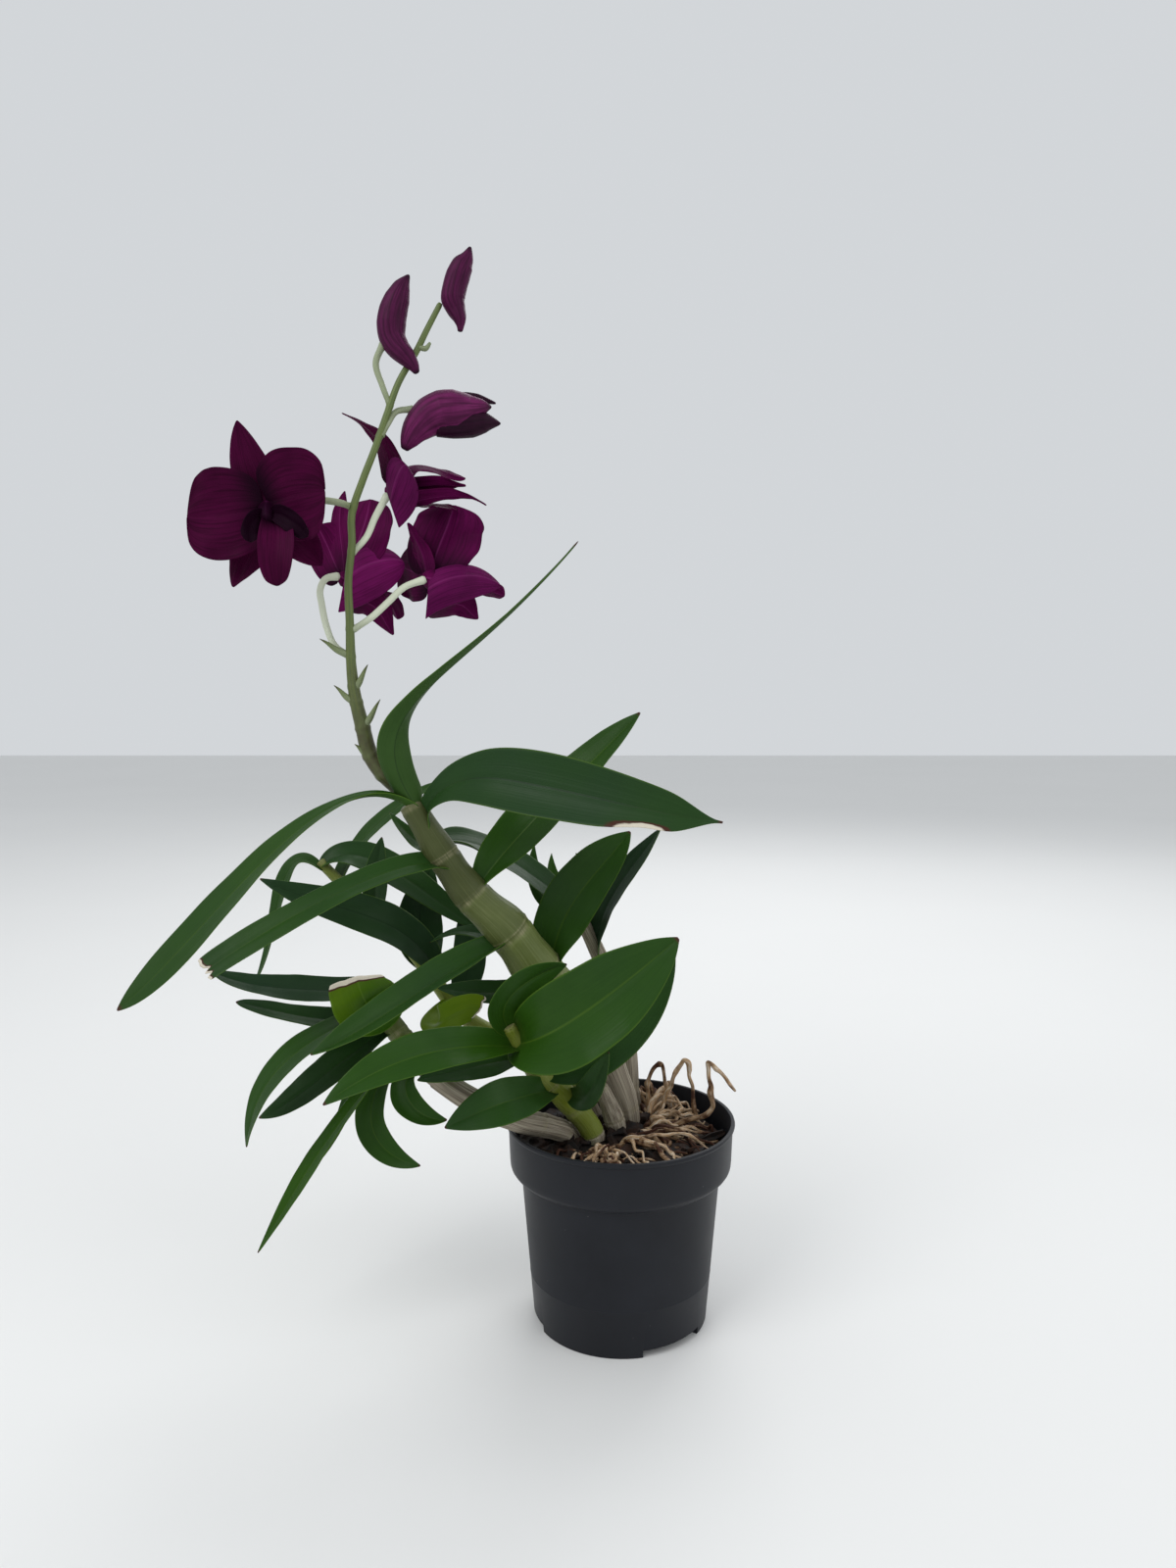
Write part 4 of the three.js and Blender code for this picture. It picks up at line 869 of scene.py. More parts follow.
def root_finish(settings):
    finish = Finish("dry root", Specular_IOR_Level=0.25)
    place = finish.place()
    patch = finish.noise(place, scale=75.0, detail=4.0, roughness=0.6)
    grain = finish.noise(finish.around(9, 14), detail=4.0, roughness=0.6)
    tone = finish.math("ADD", finish.reading("tone"), finish.span(patch, 0.35, 0.65, -0.5, 0.5))
    body = finish.blend(finish.span(tone, 0.25, 0.8), settings.root_dark, settings.root_light)
    # Pale streaks along the grain: partly bleached skin, partly painted highlight.
    pale_skin_and_highlight = finish.times(finish.span(grain, 0.45, 0.65), finish.span(tone, 0.35, 0.85))
    finish.colour(finish.blend(pale_skin_and_highlight, body, settings.root_white))
    finish.roughness(finish.span(grain, 0.3, 0.7, 0.6, 0.9))
    finish.bump(grain, 0.25, 0.8)
    return finish.material


class ORCHID_OT_roots(Operator):
    """Builds the creeping stem and the wiry dry roots over the bark"""

    bl_idname = "orchid.roots"
    bl_label = "Roots"

    def execute(self, context):
        settings = context.scene.orchid_bark
        source = random.Random(ROOT_SEED)
        parts = [tube("rhizome", RHIZOME, 16, 40, root_swell(9), {"tone": same(0.2)})]
        for i, guides in enumerate(LOOPS):
            kinked = loop_guides(guides, source)
            parts.append(tube("loop", kinked, 10, 90, root_swell(i), {"tone": same(0.6)}))
        for i in range(settings.roots):
            share = (i + source.random()) / settings.roots
            guides = root_guides(share, source, settings.root_radius / MM * source.uniform(0.55, 1.25))
            paint = {"tone": same(source.uniform(0.1, 1))}
            parts.append(tube("root", guides, ROOT.sides, ROOT.rows, root_swell(i * 3.7), paint))
        roots = joined("wiry_roots", parts)
        roots.data.materials.append(root_finish(settings))
        finished(roots, "dry_roots")
        return {"FINISHED"}


# ---- Canes ----

# Each cane: [x, y, z, radius] guides from its root end to its tip, its number of internodes, how dry and
# how olive each of them is, and how deep its sheaths are creased, as a share of its radius.
CANES = {
    "main_cane": SimpleNamespace(
        guides=[
            (6, 19, 74, 5), (3, 17, 92, 5.5), (-6, 14, 116, 7), (-21, 8, 142, 9.5), (-38, 1, 162, 10.5),
            (-51, -6, 182, 9.6), (-67.5, -10, 199.5, 7.8), (-79.5, -11, 217, 6.8), (-93, -12.5, 240, 5.2),
        ],
        internodes=8, dry=[1, 1, 0.55, 0.1, 0, 0, 0, 0],
        olive=[0, 0, 0, 0.15, 0.3, 0.7, 1, 1], crease=0.045,
    ),
    "rear_cane": SimpleNamespace(
        guides=[
            (10, 33, 74, 3.5), (6, 34, 92, 4), (4, 36, 116, 4.5), (-2, 39, 140, 4), (-13, 42, 166, 3.5),
            (-24, 44, 186, 2.5), (-29, 45, 194, 2),
        ],
        internodes=5, dry=[1, 1, 1, 0.8, 0.4],
        olive=[0, 0, 0, 0, 0], crease=0.09,
    ),
    "front_shoot": SimpleNamespace(
        guides=[
            (-10, 0, 76, 4.5), (-14, -1, 88, 5), (-27, -8, 107, 5.5), (-37, -13, 119, 5),
            (-44, -18, 131, 4.5), (-50, -22, 143, 3),
        ],
        internodes=6, dry=[0.5, 0.1, 0, 0, 0, 0],
        olive=[0, 0, 0, 0, 0, 0], crease=0.02,
    ),
    "left_cane": SimpleNamespace(
        guides=[
            (-20, 4, 79, 3.6), (-26, -3, 87, 4.6), (-34, -11, 93, 5), (-48, -19, 99.5, 5),
            (-72, -16, 110, 5), (-91, -6, 122, 5), (-104, 1, 135, 4.6), (-113, 7, 146, 3.8),
        ],
        internodes=6, dry=[1, 1, 1, 0.8, 0.3, 0],
        olive=[0, 0, 0, 0, 0.2, 0.4], crease=0.06,
    ),
    "rear_left_shoot": SimpleNamespace(
        guides=[
            (-8, 24, 76, 3.5), (-20, 28, 96, 4), (-48, 36, 114, 4), (-76, 35, 130, 3.6),
            (-92, 33, 152, 3.2), (-112, 31, 178, 2.9), (-131, 31, 194, 2.6), (-144, 32, 207, 2.2),
        ],
        internodes=7, dry=[0.8, 0.3, 0, 0, 0, 0, 0],
        olive=[0, 0, 0, 0, 0, 0.2, 0.3], crease=0.03,
    ),
    "old_stub": SimpleNamespace(
        guides=[(0, 8, 76, 4), (-3, 7, 90, 4.5), (-9, 4, 106, 3)],
        internodes=2, dry=[1, 0.9],
        olive=[0, 0], crease=0.08,
    ),
}
THICK_CANE = 6  # radius above which a cane has more sides
CANE_SIDES = 48
THICK_CANE_SIDES = 72
CANE_ROWS = 40  # rows of faces for each internode
# A sheath: creases round it, where in its internode it ends, and the collar at each node.
SHEATH = SimpleNamespace(creases=12, mouth=0.86, collar=0.035, collar_reach=0.03)


def per_internode(values, t, count):
    """The value of the internode that t falls in, with a short blend at the nodes."""
    x = min(max(t * count, 0), count - 1e-6)
    i = int(x)
    after = values[min(i + 1, count - 1)]
    return mix(values[i], after, ease(x - i, 0.9, 1))


def cane_swell(cane, seed, step):
    """The radius factor of a sheathed cane: swollen under each node, stepped where a sheath ends."""

    def swell(t, angle):
        x = t * cane.internodes
        part = x - int(x)
        mouth = SHEATH.mouth + 0.05 * ripple(2 * math.cos(angle), 2 * math.sin(angle), int(x) * 3 + seed)
        belly = 1.03 - 0.05 * math.cos(2 * math.pi * (part - 0.62))
        sleeve = step * ease(part, 0.1, mouth) * (1 - ease(part, mouth, mouth + 0.02))
        collar = SHEATH.collar * hump(part, 0.0, SHEATH.collar_reach)
        collar += SHEATH.collar * hump(part, 1.0, SHEATH.collar_reach)
        dry = per_internode(cane.dry, t, cane.internodes)
        turns = SHEATH.creases
        folds = ripple(turns / 3 * math.cos(angle), turns / 3 * math.sin(angle), t * 3 + seed)
        fine = ripple(turns * math.cos(angle), turns * math.sin(angle), t * 5 + seed)
        creases = cane.crease * (0.35 + 0.65 * dry) * (folds + 0.6 * fine)
        return belly + sleeve + collar + creases

    return swell


def cane_rim(cane):
    """1 at the papery mouth of each sheath, fading away from it."""

    def rim(t, angle):
        part = t * cane.internodes % 1
        torn = 0.5 + 0.9 * ripple(2.2 * math.cos(angle), 2.2 * math.sin(angle), t * cane.internodes)
        line = max(hump(part, 0, 0.016), hump(part, 1, 0.016))
        return max(line, torn * hump(part, 0.93, 0.07))

    return rim


def cane_finish(name, settings, fresh):
    """Ribbed sheath, green to dry by the dry attribute, pale at its rims."""
    finish = Finish(name, Specular_IOR_Level=0.25)
    dry = finish.reading("dry")
    ribs = finish.noise(finish.around(26, 5), detail=4.0, roughness=0.55)
    fine = finish.noise(finish.around(80, 9), detail=3.0, roughness=0.6)
    patch = finish.noise(finish.place(), scale=45.0, detail=4.0)
    green = finish.blend(finish.reading("olive"), fresh, settings.olive)
    lively = finish.span(finish.reading("olive"), 0, 1, 1, 0.25)
    clouded = finish.times(lively, finish.span(patch, 0.35, 0.7, 0, 0.4))
    green = finish.blend(clouded, green, settings.pale)
    lines = finish.times(lively, finish.span(fine, 0.5, 0.72, 0, 0.55))
    striped = finish.blend(lines, green, settings.pale)
    # Painted shade: a dry sheath darkens to the crease colour in the valleys of the same ribs that give its
    # bump.
    dry_with_crease_shade = finish.blend(finish.span(ribs, 0.38, 0.62), settings.crease, settings.dry)
    bleached = finish.blend(finish.span(fine, 0.5, 0.7, 0, 0.5), dry_with_crease_shade, settings.bleached)
    edge = finish.math("ADD", dry, finish.span(patch, 0.3, 0.7, -0.3, 0.3))
    body = finish.blend(finish.span(edge, 0.3, 0.6), striped, bleached)
    rim = finish.times(finish.reading("rim"), finish.span(fine, 0.35, 0.6, 0.1, 0.75))
    finish.colour(finish.blend(rim, body, settings.mouth))
    finish.roughness(finish.span(edge, 0.0, 0.8, 0.42, 0.8))
    finish.bump(ribs, 0.5, 0.6)
    finish.bump(fine, 0.2, 0.6)
    return finish.material


class ORCHID_OT_canes(Operator):
    """Builds the ribbed canes in their papery sheaths"""

    bl_idname = "orchid.canes"
    bl_label = "Canes"

    def execute(self, context):
        settings = context.scene.orchid_cane
        grown = cane_finish("cane sheath", settings, settings.green)
        young = cane_finish("shoot sheath", settings, settings.shoot)
        for seed, (name, cane) in enumerate(CANES.items()):
            widest = max(guide[3] for guide in cane.guides)
            step = settings.sheath_step / MM / widest
            count = cane.internodes
            paint = {
                "dry": lambda t, angle: per_internode(cane.dry, t, count),
                "olive": lambda t, angle: per_internode(cane.olive, t, count),
                "rim": cane_rim(cane),
            }
            sides = THICK_CANE_SIDES if widest > THICK_CANE else CANE_SIDES
            swell = cane_swell(cane, seed * 7.3, step)
            piece = tube(f"{name}_sheathed", cane.guides, sides, CANE_ROWS * count, swell, paint)
            piece.data.materials.append(young if "shoot" in name else grown)
            finished(piece, name)
        return {"FINISHED"}


# ---- Leaves ----

TIP_SHARE = 0.035  # half width of a blade's very tip, as a share of its widest
# Outlines of blades: neck is the width at the base as a share of the widest, rise and fall are the powers
# by which the blade widens and narrows, and end is the share of its run that is left.
BROAD = SimpleNamespace(neck=0.3, rise=0.75, fall=0.8, end=1)
STRAP = SimpleNamespace(neck=0.5, rise=0.4, fall=0.5, end=1)
TORN = SimpleNamespace(neck=0.5, rise=0.4, fall=0.3, end=0.88)
LATE = SimpleNamespace(neck=0.5, rise=2, fall=0.8, end=1)
LONG = SimpleNamespace(neck=0.38, rise=2.8, fall=1.6, end=1)
SPEAR = SimpleNamespace(neck=0.6, rise=0.3, fall=0.9, end=1)


def leaf(half, form, cup, rib, faces, tone, crease=0.0, torn=0.0, notch=None):
    """A blade: widest half width, outline, curl at both ends in radians, points on its rib from base to
    tip, and the way its upper side looks at both ends. tone goes from 0, dark, over 1, bright, to yellow.
    crease is its fold, torn the share of its run that is dry at a torn end, and notch the place and reach
    of a bite in its margin."""
    return SimpleNamespace(
        half=half, form=form, cup=cup, rib=rib, faces=faces,
        tone=tone, crease=crease, torn=torn, notch=notch,
    )


LEAVES = {
    "leaf_top_upright": leaf(
        6.2, SPEAR, (1.3, 0.6), tone=0.06,
        rib=[(-90, -16, 239), (-95.5, -22, 275), (-67, -17, 306), (-19, -8, 354)],
        faces=[(0, 0.9, 0.1), (-0.9, -0.4, 1)],
    ),
    "leaf_top_right": leaf(
        13.8, LONG, (1.3, 0.3), crease=0.1, tone=0.15, notch=(0.8, 0.05),
        rib=[
            (-84, -12, 227), (-85, -16, 238), (-74, -26, 249), (-58, -36, 253), (-31, -48, 250),
            (17, -64, 241), (38, -66, 238),
        ],
        faces=[(-0.7, -0.6, 0.2), (0.15, -0.93, 0.35)],
    ),
    "leaf_top_left": leaf(
        10, LATE, (1.3, 0.3), tone=0.55,
        rib=[(-91, -14, 237), (-129, -24, 237), (-171, -35, 198), (-212, -44, 156)],
        faces=[(0.25, 0.1, 1), (-0.5, -0.8, 0.3)],
    ),
    "leaf_second_left": leaf(
        6.8, TORN, (1.2, 0.3), tone=0.35, torn=0.022,
        rib=[(-77, -11, 208), (-99, -24, 212), (-139, -41, 195), (-173, -56, 174)],
        faces=[(0, -0.4, 0.9), (-0.1, -0.8, 0.6)],
    ),
    "leaf_third_right": leaf(
        12, BROAD, (1.4, 0.4), crease=0.12, tone=0.6,
        rib=[(-64, -8.5, 202), (-44, -2, 226), (-18, 6, 252), (9, 14, 279)],
        faces=[(-0.4, -0.9, 0.3), (-0.5, -0.7, 0.5)],
    ),
    "leaf_rear_right": leaf(
        10.5, BROAD, (1.2, 0.3), tone=0.3,
        rib=[(-82, -7, 222), (-61, 16, 215), (-38, 24, 199), (-16, 30, 181)],
        faces=[(0.3, -0.4, 0.9), (0.3, -0.5, 0.8)],
    ),
    "leaf_bract_left": leaf(
        3.5, SPEAR, (1, 0.4), tone=0.5,
        rib=[(-83.5, -9, 217), (-93, -4, 223), (-100, 0, 229), (-105, 3, 234)],
        faces=[(0.5, -0.7, 0.5), (0.4, -0.8, 0.4)],
    ),
    "leaf_lower_left": leaf(
        9, BROAD, (1.2, 0.4), crease=0.3, tone=0.45,
        rib=[(-46, -4, 178), (-77, -26, 166), (-104, -40, 151), (-130, -50, 139)],
        faces=[(-0.2, -0.5, 0.85), (-0.3, -0.6, 0.7)],
    ),
    "leaf_mid_right": leaf(
        13.5, BROAD, (1, 0.3), crease=0.15, tone=0.6,
        rib=[(-32, 5, 160), (-25, 6, 186), (-11, 2, 207), (4, -2, 226)],
        faces=[(-0.5, -0.85, 0.2), (-0.3, -0.9, 0.3)],
    ),
    "leaf_back_right": leaf(
        8, BROAD, (1, 0.4), tone=0.1,
        rib=[(-10, 41, 158), (-7, 37, 181), (5, 35, 202), (20, 33, 223)],
        faces=[(-0.7, -0.5, 0.5), (-0.6, -0.6, 0.5)],
    ),
    "leaf_back_tip_a": leaf(
        4, SPEAR, (1, 0.4), tone=0.7,
        rib=[(-22, 44, 182), (-19, 45, 190), (-19, 46, 199), (-21, 46, 209)],
        faces=[(-0.6, -0.7, 0), (-0.3, -0.9, 0)],
    ),
    "leaf_back_tip_b": leaf(
        4, SPEAR, (1, 0.4), tone=0.75,
        rib=[(-27, 44, 188), (-31, 47, 193), (-33, 49, 200), (-33, 51, 208)],
        faces=[(0.6, -0.7, 0.2), (0.3, -0.9, 0.2)],
    ),
    "leaf_back_tip_c": leaf(
        5, BROAD, (1, 0.4), tone=0.6,
        rib=[(-18, 43, 176), (-31, 36, 184), (-40, 37, 196), (-41, 39, 214)],
        faces=[(0.4, -0.8, 0.4), (0.3, -0.9, 0)],
    ),
    "leaf_front_right": leaf(
        18, BROAD, (0.9, 0.25), crease=0.12, tone=0.62,
        rib=[(-46, -20, 134), (-27, -42, 148), (-3, -46, 166), (23, -40, 186)],
        faces=[(0.2, -0.9, 0.4), (0.35, -0.85, 0.4)],
    ),
    "leaf_front_up": leaf(
        8, BROAD, (1, 0.3), tone=0.6,
        rib=[(-48, -20, 139), (-51, -28, 153), (-41, -32, 165), (-24, -29, 172)],
        faces=[(0.4, -0.9, 0), (0.3, -0.9, -0.1)],
    ),
    "leaf_front_left": leaf(
        9.5, BROAD, (1, 0.3), crease=0.12, tone=0.62,
        rib=[(-44, -18, 132), (-70, -44, 140), (-95, -60, 138), (-120, -72, 126)],
        faces=[(0, -0.7, 0.7), (-0.1, -0.8, 0.6)],
    ),
    "leaf_front_under_left": leaf(
        8, BROAD, (1, 0.3), tone=0.3,
        rib=[(-42, -16, 127), (-58, -22, 126), (-73, -26, 124), (-89, -30, 121)],
        faces=[(0, -0.5, 0.85), (-0.1, -0.6, 0.8)],
    ),
    "leaf_front_low_left": leaf(
        9.5, BROAD, (1, 0.2), crease=0.12, tone=0.45,
        rib=[(-30, -10, 110), (-47, -34, 114), (-60, -42, 112), (-75, -48, 107)],
        faces=[(0, -0.85, 0.5), (0, -0.85, 0.5)],
    ),
    "leaf_front_low_right": leaf(
        14, BROAD, (1, 0.3), tone=0.35,
        rib=[(-34, -12, 119), (-13, -15, 131), (6, -12, 148), (24, -8, 170)],
        faces=[(0.2, -0.9, 0.4), (0.3, -0.85, 0.4)],
    ),
    "leaf_front_inner_right": leaf(
        6, BROAD, (1, 0.4), tone=0.4,
        rib=[(-24, -7, 107), (-17, -23, 111), (-12, -31, 121), (-6, -34, 135)],
        faces=[(-0.3, -0.9, 0.3), (-0.2, -0.9, 0.2)],
    ),
    "leaf_curl": leaf(
        7, BROAD, (1, 0.8), tone=0.6,
        rib=[(-90, -6, 121), (-97, -12, 112), (-91, -18, 103), (-77, -24, 101)],
        faces=[(-0.6, -0.7, 0.2), (0, -0.8, 0.6)],
    ),
    "leaf_hang_short": leaf(
        7, BROAD, (1, 0.4), tone=0.6,
        rib=[(-98, -3, 127), (-113, -9, 102), (-108, -12, 84), (-90, -17, 77)],
        faces=[(-0.5, -0.8, 0.3), (0.3, -0.9, 0.3)],
    ),
    "leaf_hang_long": leaf(
        5.5, BROAD, (1, 0.4), tone=0.8,
        rib=[(-99, -2, 129), (-124, -25, 100), (-141, -30, 75), (-159, -34, 45)],
        faces=[(-0.7, -0.5, 0.5), (-0.6, -0.7, 0.3)],
    ),
    "leaf_hang_mid": leaf(
        5, BROAD, (1, 0.4), tone=0.55,
        rib=[(-109, 4, 140), (-122, 9, 110), (-129, 6, 91), (-140, 1, 71)],
        faces=[(-0.7, -0.5, 0.5), (-0.6, -0.7, 0.3)],
    ),
    "leaf_left_dark": leaf(
        8, BROAD, (1, 0.3), tone=0.25,
        rib=[(-104, 1, 135), (-124, -9, 124), (-141, -19, 112), (-159, -27, 103)],
        faces=[(-0.3, -0.7, 0.6), (-0.3, -0.8, 0.5)],
    ),
    "leaf_left_hook": leaf(
        8.5, BROAD, (1, 0.3), tone=0.5,
        rib=[(-110, 6, 143), (-134, -28, 138), (-152, -38, 122), (-160, -42, 96)],
        faces=[(-0.3, -0.6, 0.7), (-0.8, -0.6, 0.2)],
    ),
    "leaf_stub_cut": leaf(
        14, TORN, (1.2, 0.5), tone=1.05, torn=0.16,
        rib=[(-113, 6, 146), (-111, -19, 150), (-113, -26, 158), (-115, -28, 167)],
        faces=[(0, -0.6, 0.8), (0.1, -0.95, 0.1)],
    ),
    "leaf_far_left_rear": leaf(
        7.5, STRAP, (1, 0.3), tone=0.15,
        rib=[(-114, 8, 148), (-140, 13, 149), (-165, 12, 151), (-189, 8, 159)],
        faces=[(0, -0.5, 0.9), (0.2, -0.5, 0.8)],
    ),
    "leaf_far_left_front": leaf(
        6, STRAP, (1, 0.3), tone=0.2,
        rib=[(-108, 3, 139), (-131, -7, 141), (-151, -10, 145), (-173, -10, 150)],
        faces=[(0, -0.5, 0.9), (0, -0.5, 0.9)],
    ),
    "leaf_small_upright": leaf(
        6, BROAD, (1, 0.4), tone=0.3,
        rib=[(-117, 30, 182), (-116, 24, 193), (-114, 19, 206), (-111, 16, 221)],
        faces=[(-0.2, -0.95, 0.2), (0, -1, 0.1)],
    ),
    "leaf_tip_right": leaf(
        9, BROAD, (1, 0.3), tone=0.35,
        rib=[(-143, 31, 205), (-123, 33, 209), (-99, 36, 195), (-68, 38, 172)],
        faces=[(0, -0.5, 0.9), (0.2, -0.8, 0.5)],
    ),
    "leaf_tip_left": leaf(
        5, BROAD, (1, 0.4), tone=0.6,
        rib=[(-142, 30, 203), (-158, 30, 204), (-165, 26, 179), (-174, 22, 150)],
        faces=[(0, -0.4, 0.9), (-0.8, -0.6, 0.2)],
    ),
    "leaf_tip_up_right": leaf(
        5.5, STRAP, (1, 0.3), tone=0.6,
        rib=[(-134, 31, 197), (-127, 47, 214), (-111, 52, 230), (-90, 54, 243)],
        faces=[(-0.6, -0.6, 0.6), (-0.5, -0.6, 0.6)],
    ),
    "leaf_mid_left": leaf(
        9.5, BROAD, (1, 0.3), crease=0.1, tone=0.1,
        rib=[(-87, 34, 148), (-103, 14, 177), (-129, 5, 190), (-164, 1, 204)],
        faces=[(0.3, -0.8, 0.5), (0.1, -0.8, 0.6)],
    ),
    "leaf_rear_broad": leaf(
        11, BROAD, (1, 0.3), tone=0.2,
        rib=[(-89, 34, 152), (-97, 40, 167), (-97, 43, 184), (-92, 46, 203)],
        faces=[(0.2, -0.95, 0.2), (0, -1, 0.1)],
    ),
    "leaf_rear_arch": leaf(
        4.5, SPEAR, (1, 0.4), tone=0.4,
        rib=[(-42, 5, 166), (-60, 14, 174), (-75, 18, 176), (-90, 20, 170)],
        faces=[(0, -0.5, 0.9), (-0.1, -0.6, 0.8)],
    ),
    "leaf_centre_yellow": leaf(
        6.8, TORN, (1, 0.4), tone=1.35, torn=0.03,
        rib=[(-80, 34, 137), (-84, -4, 138), (-74, -10, 145), (-62, -13, 147)],
        faces=[(0, -0.6, 0.8), (0.1, -0.9, 0.4)],
    ),
    "leaf_centre_dark": leaf(
        6.5, BROAD, (1, 0.3), tone=0.25,
        rib=[(-30, 3, 153), (-50, 3, 151), (-66, -1, 152), (-84, -4, 155)],
        faces=[(0, -0.6, 0.8), (0, -0.7, 0.7)],
    ),
    "leaf_rear_right_dark": leaf(
        8, BROAD, (1, 0.3), tone=0.1,
        rib=[(-80, 35, 136), (-74, 38, 152), (-73, 40, 170), (-73, 42, 188)],
        faces=[(0.1, -0.95, 0.3), (0, -1, 0.1)],
    ),
}
LEAF_COLUMNS = 12
LEAF_ROWS = 40
CROWDING = 1.3  # columns crowd towards the rib by this power
CHANNEL = SimpleNamespace(depth=0.45, width=0.9)  # of the groove over the rib, in millimetres
# Unevenness as shares of a blade's width or run: of its width, its waves and ripples, the line and the
# shreds of a torn end, and a bite.
UNEVEN = SimpleNamespace(width=0.035, wave=0.07, ripple=0.05, tear=0.05, shreds=0.03, bite=0.22)
VEIN_SHADE = (0.72, 0.8, 0.75)  # what veins and mottle leave of each colour channel


def outline(run, form):
    """Half width along a blade, as a share of its widest."""
    t = run * form.end
    peak = form.rise / (form.rise + form.fall)
    body = (t / peak) ** form.rise * ((1 - t) / (1 - peak)) ** form.fall
    return max(TIP_SHARE, form.neck * (1 - t) ** 3 + body)


def across(u):
    """A column's place from -1 to 1, crowded towards the rib."""
    w = 2 * u - 1
    return math.copysign(abs(w) ** CROWDING, w)


def blade_place(shape, detail):
    """The surface of a blade.

    detail(s, v) gives the extra lift for a width, a factor on the width, and the share of the run.
    """
    curve = rib_through(shape.rib)
    base, tip = (Vector(face) for face in shape.faces)
    rows = {}

    def row(t):
        if t not in rows:
            along = heading(curve, t)
            face = base.lerp(tip, t)
            face = (face - along * face.dot(along)).normalized()
            rows[t] = (curve(t), along, face, along.cross(face), shape.half * outline(t, shape.form))
        return rows[t]

    def place(u, v):
        s = across(u)
        lift, narrow, t = detail(s, v)
        centre, along, face, side, width = row(round(t, 5))
        width *= narrow
        curl = mix(*shape.cup, ease(t, 0, 0.3))
        offset = width * math.sin(curl * s) / curl
        rise = width * (1 - math.cos(curl * s)) / curl + shape.crease * width * abs(s)
        groove = CHANNEL.depth * math.exp(-((s * width / CHANNEL.width) ** 2)) * ease(width, 1, 4)
        return centre + side * offset + face * (rise + lift(width) - groove)

    return place


def leaf_detail(shape, seed):
    """Waves at the margins, a wandering width, and a torn end or notch where the leaf has one."""

    def detail(s, v):
        side = 1 if s > 0 else -1
        t = v
        if shape.torn:
            line = UNEVEN.tear * (0.5 + ripple(4 * s, seed))
            t = v * (1 - line - UNEVEN.shreds * abs(ripple(11 * s, seed + 5)))
        narrow = 1 + UNEVEN.width * ripple(5 * t, seed, side)
        if shape.notch and s > 0:
            where, reach = shape.notch
            narrow *= 1 - UNEVEN.bite * hump(t, where, reach) * (1 + 0.5 * ripple(60 * t, seed))

        def lift(width):
            wave = UNEVEN.wave * width * math.sin(9 * t + seed + side)
            wave += UNEVEN.ripple * width * ripple(11 * t, seed, side * 3)
            return wave * s * s * ease(t, 0.1, 0.4)

        return lift, narrow, min(max(t, 0), 1)

    return detail


def leaf_scar(shape):
    """How dry and papery the blade is: at a torn end and round a notch."""

    def scar(u, v):
        s = across(u)
        if shape.torn:
            return ease(v, 1 - shape.torn, 1)
        if shape.notch and s > 0:
            where, reach = shape.notch
            return hump(v, where, reach * 1.4) * ease(s, 0.6, 0.9)
        return 0.0

    return scar


def leaf_finish(name, settings, face):
    """The leathery surface of a leaf; face is its upper side, else its underside."""
    finish = Finish(name, Specular_IOR_Level=0.12)
    u, v = finish.parts(finish.uv())
    edge = finish.math("ABSOLUTE", finish.math("SUBTRACT", finish.times(u, 2.0), 1.0))
    lengthways = finish.vector(finish.times(u, 46.0), finish.times(v, 2.0))
    veins = finish.noise(lengthways, detail=2.0)
    mottle = finish.noise(finish.place(), scale=70.0, detail=4.0, roughness=0.6)
    broad = finish.noise(finish.place(), scale=14.0, detail=2.0)
    tone = finish.math("ADD", finish.reading("tone"), finish.span(broad, 0.3, 0.7, -0.18, 0.18))
    body = finish.blend(finish.span(tone, 0, 1), settings.dark, settings.bright)
    body = finish.blend(finish.span(tone, 1.05, 1.6), body, settings.yellow)
    if not face:
        body = finish.blend(0.6, body, settings.under)
    shade = finish.blend(1.0, body, VEIN_SHADE, "MULTIPLY")
    body = finish.blend(finish.span(mottle, 0.4, 0.75, 0, 0.55), body, shade)
    body = finish.blend(finish.span(veins, 0.45, 0.7, 0, 0.45), body, shade)
    # Over the rib: painted shade in the groove of old blades, and a pale line on bright ones.
    rib = finish.span(edge, 0.0, 0.07, 1.0, 0.0)
    rib_line_and_shade = finish.blend(finish.span(tone, 0.2, 0.8), settings.groove, settings.margin)
    body = finish.blend(finish.times(rib, 0.55), body, rib_line_and_shade)
    margin = finish.span(edge, 0.955, 0.995)
    body = finish.blend(finish.times(margin, 0.6), body, settings.margin)
    tip = finish.math("ADD", v, finish.span(mottle, 0.3, 0.7, -0.006, 0.006))
    body = finish.blend(finish.span(tip, 0.982, 0.993), body, settings.scorch)
    scar = finish.math("ADD", finish.reading("scar"), finish.span(mottle, 0.3, 0.7, -0.12, 0.12))
    body = finish.blend(finish.span(scar, 0.22, 0.34), body, settings.scorch)
    finish.colour(finish.blend(finish.span(scar, 0.5, 0.6), body, settings.paper))
    worn = finish.span(mottle, 0.3, 0.75, 0.3, 0.44) if face else finish.span(mottle, 0.3, 0.75, 0.45, 0.6)
    finish.roughness(worn)
    finish.bump(veins, 0.12, 0.7)
    finish.bump(finish.noise(finish.place(), scale=900.0, detail=2.0), 0.03, 0.5)
    return finish.material


